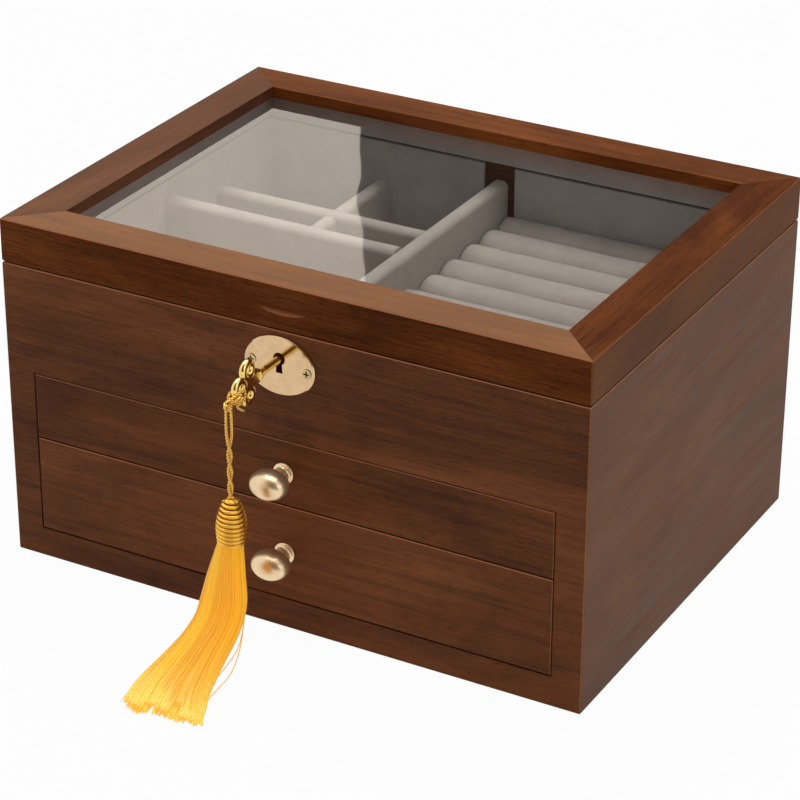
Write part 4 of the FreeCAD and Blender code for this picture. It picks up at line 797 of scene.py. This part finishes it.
# Radius and distance from the wood in mm, and how much wider than high the knob is there.
KNOB_PROFILE = (
    (0.0, 0.0, 1.0), (5.2, 0.0, 1.0), (5.8, 0.25, 1.0), (5.8, 0.95, 1.0), (5.45, 1.35, 1.0),
    (4.7, 1.55, 1.0), (4.15, 1.8, 1.0), (3.75, 2.6, 1.0), (3.6, 4.2, 1.0), (3.7, 5.6, 1.02),
    (4.15, 6.6, 1.08), (5.35, 7.6, 1.2), (6.7, 9.2, BALL_WIDE), (7.5, 11.4, BALL_WIDE),
    (7.75, 13.9, BALL_WIDE), (7.5, 16.3, BALL_WIDE), (6.7, 18.5, BALL_WIDE), (5.3, 20.1, BALL_WIDE),
    (3.3, 21.15, BALL_WIDE), (1.2, 21.5, BALL_WIDE), (0.0, 21.5, BALL_WIDE),
)
KNOB_SIDES = 48
FRONT = -124 * MM


def knob(name, node, body, height):
    """Rings along the knob's own axis, from the wood out."""
    rings = [[(reach * widen * MM * cos(turn), FRONT - out * MM, height + reach * MM * sin(turn))
              for turn in angles(KNOB_SIDES if reach else 1)] for reach, out, widen in KNOB_PROFILE]
    made = place(name, skinned(name, rings))
    rounding = made.modifiers.new("rounding", "SUBSURF")
    rounding.levels = rounding.render_levels = 2
    plain(made)
    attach(made, body)
    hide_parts(node)
    return made


knobs = [
    knob("upper_oval_knob", "upper_knob", "upper_drawer", 88.825 * MM),
    knob("lower_oval_knob", "lower_knob", "lower_drawer", 43.725 * MM),
]

# %% [markdown]
# ## The ring cushion
#
# The right rear of the tray holds a row of velvet rolls, pressed so close together that a ring can
# be pinched between two of them. Real ones are foam bars wrapped in one sheet of velvet. Here one
# profile across the rolls is swept along them in short steps, drawn in towards both ends and
# rumpled a little.

# %% Profile of the rolls
CUSHION_LEFT, CUSHION_FRONT, CUSHION_BACK = 0.3 * MM, 3.9 * MM, 111.7 * MM
CUSHION_FLOOR, CREST = 114.0 * MM, 138.5 * MM
ROLL_RISE, ROLL_STEPS = 9.5 * MM, 14
FIRST_SLOT, SLOT_PITCH, SLOTS = 9.7 * MM, 22.3 * MM, 5
SLOT_FOOT, SLOT_TOP = CREST - 17 * MM, CREST - ROLL_RISE - 2.5 * MM
SLOT_HALF, EDGE_GAP = 0.45 * MM, 0.2 * MM
slots = [FIRST_SLOT + SLOT_PITCH * index for index in range(SLOTS)]
roll_edges = [CUSHION_FRONT - SLOT_PITCH * 0.62] + slots + [slots[-1] + SLOT_PITCH]
profile = [(CUSHION_FRONT, CUSHION_FLOOR), (CUSHION_FRONT, CUSHION_FLOOR + 8 * MM)]
for near, far in zip(roll_edges, roll_edges[1:]):
    middle = (near + far) / 2
    half = (far - near) / 2 - SLOT_HALF
    if near in slots:
        profile += [(near + SLOT_HALF, SLOT_FOOT), (near + SLOT_HALF, SLOT_TOP)]
    for index in range(ROLL_STEPS + 1):
        side = -cos(pi * index / ROLL_STEPS)
        y = middle + half * side
        if CUSHION_FRONT + EDGE_GAP < y < CUSHION_BACK - EDGE_GAP:
            profile.append((y, CREST - ROLL_RISE * (1 - sqrt(max(0.0, 1 - side ** 2)))))
    if far in slots:
        profile += [(far - SLOT_HALF, SLOT_TOP), (far - SLOT_HALF, SLOT_FOOT)]
profile += [(CUSHION_BACK, CREST - 1.2 * MM), (CUSHION_BACK, CUSHION_FLOOR)]
print("profile of", len(profile), "points")

# %% Ring cushion
CUSHION_LENGTH, END_ROUND, END_DROP = 149.4, 4.0, 2.6
near_start = [0, 0.6, 1.6, 3.2, 6.0]
stations = near_start + [10 + 129.4 * index / 22 for index in range(23)]
stations += [CUSHION_LENGTH - inset for inset in reversed(near_start)]
chance = random.Random(5)
rumple = [(chance.uniform(0, 6.28), chance.uniform(0.04, 0.11), chance.uniform(0.1, 0.3)) for _ in range(5)]
rows = []
for station in stations:
    near_end = min(station, CUSHION_LENGTH - station, END_ROUND)
    drop = END_DROP * (1 - sqrt(max(0.0, 1 - (1 - near_end / END_ROUND) ** 2)))
    row = []
    for y, z in profile:
        share = (z - CUSHION_FLOOR) / (CREST - CUSHION_FLOOR)
        waves = sum(size * sin(phase + rate * station + 90 * y) for phase, rate, size in rumple) * 0.35
        lower = (drop + waves * max(0.0, share)) * share
        row.append((CUSHION_LEFT + station * MM, y, z - max(0.0, lower) * MM))
    rows.append(row)
rolls = place("velvet_rolls", skinned("velvet_rolls", rows, ends=True))
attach(rolls, "case")
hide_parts("ring_cushion")
print("rolls:", len(profile), "points across,", len(stations), "along")

# %% [markdown]
# ## Walnut
#
# The case is dark, figured wood under a thin satin varnish. The figure comes from four layers: broad clouds
# of light and dark, growth streaks that follow the grain, fine dark lines, and pores a few millimetres long
# with their gentle relief. Rounded edges that face up get a painted highlight, a paler colour where the lamp
# above would glint on them, and some boards get a painted sheen, a paler top or side where a lamp's
# reflection would lie. The fourth powers of a normal's parts add up to one on a flat face and to less on a
# rounded edge, which tells the two apart.

# %% Walnut finish
ROUGHNESS = 0.46
# Colour of the painted sheen, which pales tops and sides where a lamp's reflection would lie.
PAINTED_SHEEN_COLOUR = rgb(0.76, 0.42, 0.22)


def walnut(name, grain, colours, shift, figure=1.15, side_painted_sheen=0.0, top_painted_sheen=0.0, gloss=0.09, edge_highlight=0.75):
    """Figured wood; grain is the axis of the board's length (0, 1 or 2)."""
    light, middle, dark = (tone(*screen) for screen in colours)
    material, tree, shader = blank_finish(name, {"Roughness": ROUGHNESS, "Specular IOR Level": gloss})

    def along_grain(fine, long, **sockets):
        scale = [fine] * 3
        scale[grain] = long
        return noise(tree, scale, shift, **sockets)

    clouds = along_grain(18, 7, Detail=4.0, Roughness=0.6, Distortion=0.8)
    growth = along_grain(230, 9, Detail=3.0, Roughness=0.55, Distortion=0.5)
    streaks = along_grain(1050, 24, Detail=2.0, Roughness=0.6)
    pores = along_grain(2600, 170, Detail=1.0, Roughness=0.5)
    holes = ramp(tree, pores, (0.32, 1 - 0.32 * figure), (0.43, 1.0))
    wood = ramp(tree, clouds, (0.3, dark), (0.5, middle), (0.7, light))
    for marks in (ramp(tree, growth, (0.28, 1 - 0.34 * figure), (0.5, 0.93), (0.72, 1.0)),
                  ramp(tree, streaks, (0.3, 1 - 0.26 * figure), (0.65, 1.0)), holes):
        wood = blend(tree, 1.0, wood, marks, "MULTIPLY")
    normal = add(tree, "ShaderNodeTexCoord", {}).outputs["Normal"]
    facing = add(tree, "ShaderNodeSeparateXYZ", {"Vector": normal}).outputs
    flat_x, flat_y, flat_z = (calc(tree, "POWER", facing[axis], 4.0) for axis in "XYZ")
    flatness = calc(tree, "ADD", calc(tree, "ADD", flat_x, flat_y), flat_z)
    # Painted highlight: rounded edges that face up are paled, where the lamp above would glint on them.
    rounded = ramp(tree, flatness, (0.55, edge_highlight), (0.85, 0.0))
    edges = calc(tree, "MULTIPLY", rounded, remap(tree, facing["Z"], -0.2, 0.2))
    # Painted sheen: flat tops or sides are paled towards that colour.
    for flat, painted_sheen in ((flat_x, side_painted_sheen), (flat_z, top_painted_sheen)):
        if painted_sheen:
            wood = blend(tree, calc(tree, "MULTIPLY", flat, painted_sheen), wood, PAINTED_SHEEN_COLOUR)
    edge_highlight_colour = rgb(*(min(1.0, 2.0 * value + 0.06) for value in light[:3]))
    feed(shader, {"Base Color": blend(tree, edges, wood, edge_highlight_colour),
                  "Roughness": remap(tree, growth, 0.3, 0.7, ROUGHNESS - 0.05, ROUGHNESS + 0.08),
                  "Normal": relief(tree, holes, 0.06 * MM, 0.5)})
    return material


print("walnut: four layers of noise")

# %% [markdown]
# ## Boards
#
# No two boards come from the same place in a log. Each gets its own copy of the finish, with the grain along
# the board, its own shift into the pattern and the colours measured on it. The lid's rails lie flat under the
# lamp, so they take less gloss and less painted edge highlight than the case, and some of them a painted
# sheen on their top or side.

# %% Boards
# Light, middle and dark screen colours of each kind of board.
SIDE_WOOD = ((134, 87, 52), (121, 75, 44), (106, 63, 35))
FRONT_WOOD = ((154, 93, 54), (130, 76, 43), (100, 55, 29))
DRAWER_WOOD = ((142, 84, 47), (116, 66, 35), (89, 48, 24))
LID_WOOD = ((139, 77, 34), (118, 61, 23), (88, 42, 14))
LEFT_RAIL_WOOD = ((120, 72, 43), (102, 58, 33), (86, 47, 25))
RIGHT_RAIL_WOOD = ((120, 66, 31), (97, 50, 23), (76, 38, 16))
# The back's colours are darker than the sides': painted shade for the strip of it seen in shadow inside the
# tray.
BACK_WOOD = ((108, 67, 40), (92, 55, 32), (78, 45, 26))
ACROSS, DEEP = 0, 1
# Direction of the grain, colours and shift into the pattern.
BOARDS = {
    "front_frame": (ACROSS, FRONT_WOOD, (0.3, 0.1, 0.7)),
    "upper_drawer_front": (ACROSS, DRAWER_WOOD, (1.3, 0.2, 0.9)),
    "lower_drawer_front": (ACROSS, FRONT_WOOD, (2.6, 0.5, 0.2)),
    "left_side": (DEEP, SIDE_WOOD, (3.1, 0.4, 0.6)),
    "right_side": (DEEP, SIDE_WOOD, (4.2, 0.9, 0.3)),
    "back_panel": (ACROSS, BACK_WOOD, (5.4, 0.3, 0.8)),
    "bottom_board": (ACROSS, SIDE_WOOD, (6.1, 0.7, 0.2)),
    "lid_front_rail": (ACROSS, LID_WOOD, (7.7, 0.1, 0.4)),
    "lid_back_rail": (ACROSS, LID_WOOD, (8.5, 0.6, 0.9)),
    "lid_left_rail": (DEEP, LEFT_RAIL_WOOD, (9.2, 0.8, 0.1)),
    "lid_right_rail": (DEEP, RIGHT_RAIL_WOOD, (10.9, 0.2, 0.5)),
    "drawer_runners": (DEEP, SIDE_WOOD, (16.2, 0.4, 0.2)),
    "tray_floor": (ACROSS, SIDE_WOOD, (17.7, 0.5, 0.9)),
}
INNER_BOARDS = (("left_side", DEEP), ("right_side", DEEP), ("back", ACROSS), ("bottom", ACROSS))
for side in ("upper", "lower"):
    for index, (board, grain) in enumerate(INNER_BOARDS):
        BOARDS[f"{side}_drawer_{board}"] = (grain, SIDE_WOOD, (11.0 + index, 0.3, 0.7))
print("boards:", len(BOARDS))

# %% Dress the boards
# What sets some boards apart from the others.
# The top and side sheen values paint a lamp's reflection on those faces, and the edge value sets the painted
# highlight on rounded edges.
BOARD_LOOKS = {
    "left_side": {"figure": 0.6},
    "right_side": {"figure": 0.6},
    "lid_front_rail": {"figure": 1.5, "top_painted_sheen": 0.19, "gloss": 0.04, "edge_highlight": 0.55},
    "lid_back_rail": {"figure": 1.3, "top_painted_sheen": 0.02, "gloss": 0.03, "edge_highlight": 0.3},
    "lid_left_rail": {"top_painted_sheen": 0.05, "gloss": 0.05, "edge_highlight": 0.3},
    "lid_right_rail": {"figure": 1.25, "side_painted_sheen": 0.09, "gloss": 0.02, "edge_highlight": 0.3},
}


def dress(material, *nodes):
    """Gives CAD nodes their finish."""
    for node in nodes:
        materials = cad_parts[node].data.materials
        materials.clear()
        materials.append(material)


for node, board in BOARDS.items():
    dress(walnut("walnut_" + node, *board, **BOARD_LOOKS.get(node, {})), node)
print("boards with a look of their own:", len(BOARD_LOOKS))

# %% [markdown]
# ## Velvet and felt
#
# The tray is lined with grey-taupe flocked velvet, a little greyer on the back wall and in the lid.
# Its pile shows as soft mottling, where it lies one way or the other, very fine speckle, and a pale
# sheen where the surface turns away from the eye. Sheen on the shader's own socket gives the last,
# two noises give the rest.

# %% Velvet finishes
def velvet(name, light, dark, sheen=0.5):
    """Flocked cloth between two colours."""
    material, tree, shader = blank_finish(name, {
        "Roughness": 0.95, "Sheen Weight": sheen, "Sheen Roughness": 0.42, "Specular IOR Level": 0.12})
    lay = noise(tree, (55,) * 3, Detail=4.0, Roughness=0.6, Distortion=0.5)
    hairs = noise(tree, (2600,) * 3, Detail=2.0)
    mottled = ramp(tree, lay, (0.32, dark), (0.68, light))
    speck = ramp(tree, hairs, (0.3, 0.84), (0.7, 1.0))
    feed(shader, {"Base Color": blend(tree, 1.0, mottled, speck, "MULTIPLY"),
                  "Normal": relief(tree, hairs, 0.2 * MM, 0.5)})
    return material


pale_velvet = velvet("pale_velvet", tone(200, 189, 180), tone(186, 176, 167))
grey_velvet = velvet("grey_velvet", tone(193, 187, 184), tone(179, 173, 170))
drawer_velvet = velvet("drawer_velvet", tone(190, 175, 160), tone(168, 153, 139))
table_felt = velvet("table_felt", tone(64, 58, 54), tone(44, 40, 38), sheen=0.2)
dress(pale_velvet, "floor_lining", "side_linings", "front_lining", "long_divider", "tall_cross_divider",
      "low_cross_divider", "rear_short_divider", "front_short_divider", "right_divider")
dress(grey_velvet, "back_lining_left", "back_lining_right", "lid_lining")
dress(drawer_velvet, "upper_drawer_lining", "lower_drawer_lining")
dress(table_felt, "base_felt")
rolls.data.materials.append(pale_velvet)
print("cloths: 4")

# %% [markdown]
# ## Metals
#
# The lock plate is polished brass, nearly a mirror. The key is the same metal, worn dull in its
# hollows. The knobs are a paler, brushed champagne metal. Screws and hinges are plain brass and
# steel. Each has fine scratches and a cloud of slightly different gloss, because a perfectly even
# metal looks like plastic.

# %% Metal finishes
def metal(name, colour, tarnish, roughness, spread, scratch=0.02, metallic=1.0):
    """Brushed metal between its colour and its tarnish; scratch is the lines' height in mm."""
    material, tree, shader = blank_finish(name, {"Metallic": metallic, "Roughness": roughness})
    clouds = noise(tree, (160,) * 3, Detail=4.0, Roughness=0.6)
    lines = noise(tree, (400, 2500, 2500), Detail=2.0)
    feed(shader, {"Base Color": ramp(tree, clouds, (0.3, tarnish), (0.6, colour)),
                  "Roughness": remap(tree, clouds, 0.3, 0.7, roughness + spread, roughness),
                  "Normal": relief(tree, lines, scratch * MM, 0.5)})
    return material


BRASS, OLD_BRASS = rgb(0.66, 0.47, 0.24), rgb(0.50, 0.34, 0.16)
plate_brass = metal("plate_brass", rgb(0.70, 0.488, 0.278), rgb(0.62, 0.415, 0.222), 0.08, 0.05, 0.008)
key_brass = metal("key_brass", rgb(0.90, 0.66, 0.24), rgb(0.78, 0.52, 0.15), 0.14, 0.06)
champagne = metal("champagne_metal", rgb(0.92, 0.72, 0.45), rgb(0.84, 0.62, 0.36), 0.31, 0.05, metallic=0.9)
hinge_brass = metal("hinge_brass", BRASS, OLD_BRASS, 0.28, 0.12)
screw_steel = metal("screw_steel", rgb(0.56, 0.54, 0.50), rgb(0.42, 0.40, 0.37), 0.30, 0.12)
dress(plate_brass, "escutcheon")
dress(hinge_brass, "link_plate", "hinge_case_leaves", "hinge_lid_leaves", "hinge_pins", "lock_case",
      "lock_bolt")
dress(screw_steel, "link_plate_screws", "hinge_case_screws", "hinge_lid_screws", "lock_screws",
      "upper_knob_screw", "lower_knob_screw")
cast_key.data.materials.append(key_brass)
for made in knobs:
    made.data.materials.append(champagne)
print("metals: 5")

# %% [markdown]
# ## The plate's screws
#
# Two brass screws hold the lock plate. The cross cut into each head gets painted shade: the finish turns dark
# a little behind the head's front.

# %% Screws with painted shade in their hollows
screw_brass = metal("screw_brass", BRASS, OLD_BRASS, 0.22, 0.10)
head_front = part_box("escutcheon_screws")[0].y
tree = screw_brass.node_tree
shader = tree.nodes["Principled BSDF"]
unshaded_colour = shader.inputs["Base Color"].links[0].from_socket
where = add(tree, "ShaderNodeTexCoord", {}).outputs["Object"]
depth = add(tree, "ShaderNodeSeparateXYZ", {"Vector": where}).outputs["Y"]
# Painted shade: the finish darkens behind the head's front, in the recess.
recess_shade = remap(tree, depth, head_front + 0.12 * MM, head_front + 0.3 * MM)
feed(shader, {"Base Color": blend(tree, recess_shade, unshaded_colour, rgb(0.02, 0.012, 0.006))})
dress(screw_brass, "escutcheon_screws")
print("screw heads begin at", round(head_front / MM, 2), "mm")

# %% [markdown]
# ## Glass
#
# The lid holds one flat pane. Thin flat glass doesn't bend the view, so a clear shader mixed with a
# mirror by the Fresnel law is truer and much faster than a solid glass shader. Only the face that
# light enters mirrors it, strongly enough for both faces.

# %% Pane
BOTH_FACES = 1.6


def bare_finish(name):
    """A new material with an empty tree."""
    material = bpy.data.materials.new(name)
    material.use_nodes = True
    material.node_tree.nodes.clear()
    return material, material.node_tree


def mixed(tree, share, first, second):
    """Two shaders mixed by a share."""
    return add(tree, "ShaderNodeMixShader", {0: share, 1: first.outputs[0], 2: second.outputs[0]})


pane, tree = bare_finish("window_glass")
clear = add(tree, "ShaderNodeBsdfTransparent", {"Color": (0.985, 0.985, 0.98, 1)})
mirror = add(tree, "ShaderNodeBsdfGlossy", {"Color": (1, 1, 1, 1), "Roughness": 0.02})
fresnel = add(tree, "ShaderNodeFresnel", {"IOR": 1.5}).outputs["Fac"]
leaving = add(tree, "ShaderNodeNewGeometry", {}).outputs["Backfacing"]
share = calc(tree, "MULTIPLY", calc(tree, "MULTIPLY", fresnel, BOTH_FACES),
             calc(tree, "SUBTRACT", 1.0, leaving), use_clamp=True)
add(tree, "ShaderNodeOutputMaterial", {"Surface": mixed(tree, share, clear, mirror).outputs[0]})
dress(pane, "glass_pane")
print("pane:", len(tree.nodes), "nodes")

# %% [markdown]
# ## Floor
#
# A white table runs into a white background. It shows white to the camera and in reflections, so
# that polished metal has something bright to mirror, while the light that it gives back to the box
# stays plain. A little of it stays matt, so that it keeps the box's shadow.

# %% Floor
def white_for_rays(tree, white):
    """A share that is `white` where the camera, a mirror or glass looks, and 0 for plain light."""
    path = add(tree, "ShaderNodeLightPath", {}).outputs
    looked = calc(tree, "MAXIMUM", path["Is Camera Ray"], path["Is Glossy Ray"])
    return calc(tree, "MULTIPLY", calc(tree, "MAXIMUM", looked, path["Is Transmission Ray"]), white)


white_table, tree = bare_finish("white_table")
matt = add(tree, "ShaderNodeBsdfDiffuse", {"Color": (0.62, 0.62, 0.62, 1)})
glow = add(tree, "ShaderNodeEmission", {"Color": (1, 1, 1, 1), "Strength": 1.0})
surface = mixed(tree, white_for_rays(tree, 0.965), matt, glow)
add(tree, "ShaderNodeOutputMaterial", {"Surface": surface.outputs[0]})
floor = bmesh.new()
bmesh.ops.create_grid(floor, x_segments=1, y_segments=1, size=8)
table = place("table_top", mesh_of(floor, "table_top"), white_table, smooth=False)
print("floor of", round(table.dimensions.x), "m")

# %% [markdown]
# ## Room and lamps
#
# The light is one big soft lamp overhead and a little behind, a weaker one from the right, and an
# even pale world. Metal mirrors the room as it was: white all round and dark on the side where the
# photographer stood, which gives the knobs and the key their dark bellies.

# %% Room and lamps
BOX_MIDDLE = Vector((0, 0, 0.1))
# Name, place, side length and power.
LAMPS = (("overhead", (-0.1, 0.30, 2.2), 1.4, 33), ("right_fill", (2.2, -0.9, 1.3), 1.2, 6))
world = bpy.data.worlds.new("studio")
bpy.context.scene.world = world
world.use_nodes = True
tree = world.node_tree
tree.nodes.clear()
soft = add(tree, "ShaderNodeBackground", {"Color": (1.0, 0.99, 0.97, 1), "Strength": 0.38})
white = add(tree, "ShaderNodeBackground", {"Color": (1, 1, 1, 1), "Strength": 1.0})
looking = add(tree, "ShaderNodeTexCoord", {}).outputs["Generated"]
towards_lens = add(tree, "ShaderNodeVectorMath", {0: looking, 1: backward}, operation="DOT_PRODUCT")
walls = ramp(tree, towards_lens.outputs["Value"],
             (0.64, 1.0), (0.88, rgb(0.20, 0.14, 0.10)), (1.0, rgb(0.10, 0.07, 0.05)))
room = add(tree, "ShaderNodeBackground", {"Color": walls, "Strength": 1.0})
glossy = add(tree, "ShaderNodeLightPath", {}).outputs["Is Glossy Ray"]
surface = mixed(tree, glossy, mixed(tree, white_for_rays(tree, 1.0), soft, white), room)
add(tree, "ShaderNodeOutputWorld", {"Surface": surface.outputs[0]})
for name, where, side, power in LAMPS:
    light = bpy.data.lights.new(name, "AREA")
    light.shape = "RECTANGLE"
    light.size = light.size_y = side
    light.energy = power
    lamp = into_scene(name, light)
    lamp.location = where
    lamp.rotation_euler = (BOX_MIDDLE - Vector(where)).to_track_quat("-Z", "Y").to_euler()
print("lamps:", len(LAMPS))

# %% [markdown]
# ## What the pane mirrors
#
# Seen from the camera, the left half of the pane mirrors a bright window or screen and the right
# half a dark room, which is why the tray shows clearly only on the right. Two cards far behind the
# box stand for them, with one slightly wavy edge between them, as the pane is not quite flat. They
# are seen by mirrors alone and cast no light or shadow.

# %% Edge between the cards
PANE_TOP = 183.6 * MM
CARD_DISTANCE = 3.0
PICTURE_MIDDLE, FOCAL_PIXELS = 400, 2956.75
# Two places of the picture on the edge between bright and dark.
UPPER_PLACE, LOWER_PLACE = (358, 125), (363, 283)
WAVES = 60


def mirrored(across, down):
    """Where the mirror image of a picture place lies on the cards' upright plane."""
    ray = Vector(((across - PICTURE_MIDDLE) / FOCAL_PIXELS, -(down - PICTURE_MIDDLE) / FOCAL_PIXELS, -1))
    ray = camera.matrix_world.to_3x3() @ ray
    hit = CAMERA_PLACE + ray * ((PANE_TOP - CAMERA_PLACE.z) / ray.z)
    bounce = Vector((ray.x, ray.y, -ray.z))
    away = Vector((-sin(AZIMUTH), cos(AZIMUTH), 0))
    return hit + bounce * ((CARD_DISTANCE - hit.dot(away)) / bounce.dot(away))


lower_edge = mirrored(*LOWER_PLACE)
edge_line = mirrored(*UPPER_PLACE) - lower_edge
edge = []
for index in range(WAVES + 1):
    share = index / WAVES * 5 - 2
    ripple = 0.004 * sin(9 * share) + 0.003 * sin(19 * share + 1)
    edge.append(lower_edge + edge_line * share + level_right * ripple)
print("edge from", round(edge[0].z, 2), "to", round(edge[-1].z, 2), "m up")

# %% Cards for the reflection
# Name, width (to the left where it is negative), colour and strength.
CARDS = (("bright_card", -2.5, rgb(1.0, 0.90, 0.78), 1.36), ("dark_card", 2.5, rgb(1.0, 0.9, 0.8), 0.02))
count = len(edge)
for name, reach, colour, strength in CARDS:
    mesh = bpy.data.meshes.new(name)
    mesh.from_pydata(edge + [point + level_right * reach for point in edge], [], [
        (index, index + 1, count + index + 1, count + index) for index in range(count - 1)])
    finish, tree = bare_finish(name)
    glow = add(tree, "ShaderNodeEmission", {"Color": colour, "Strength": strength})
    add(tree, "ShaderNodeOutputMaterial", {"Surface": glow.outputs["Emission"]})
    made = place(name, mesh, finish, smooth=False)
    for use in ("visible_camera", "visible_diffuse", "visible_shadow", "visible_transmission"):
        setattr(made, use, False)
print("cards:", len(CARDS))
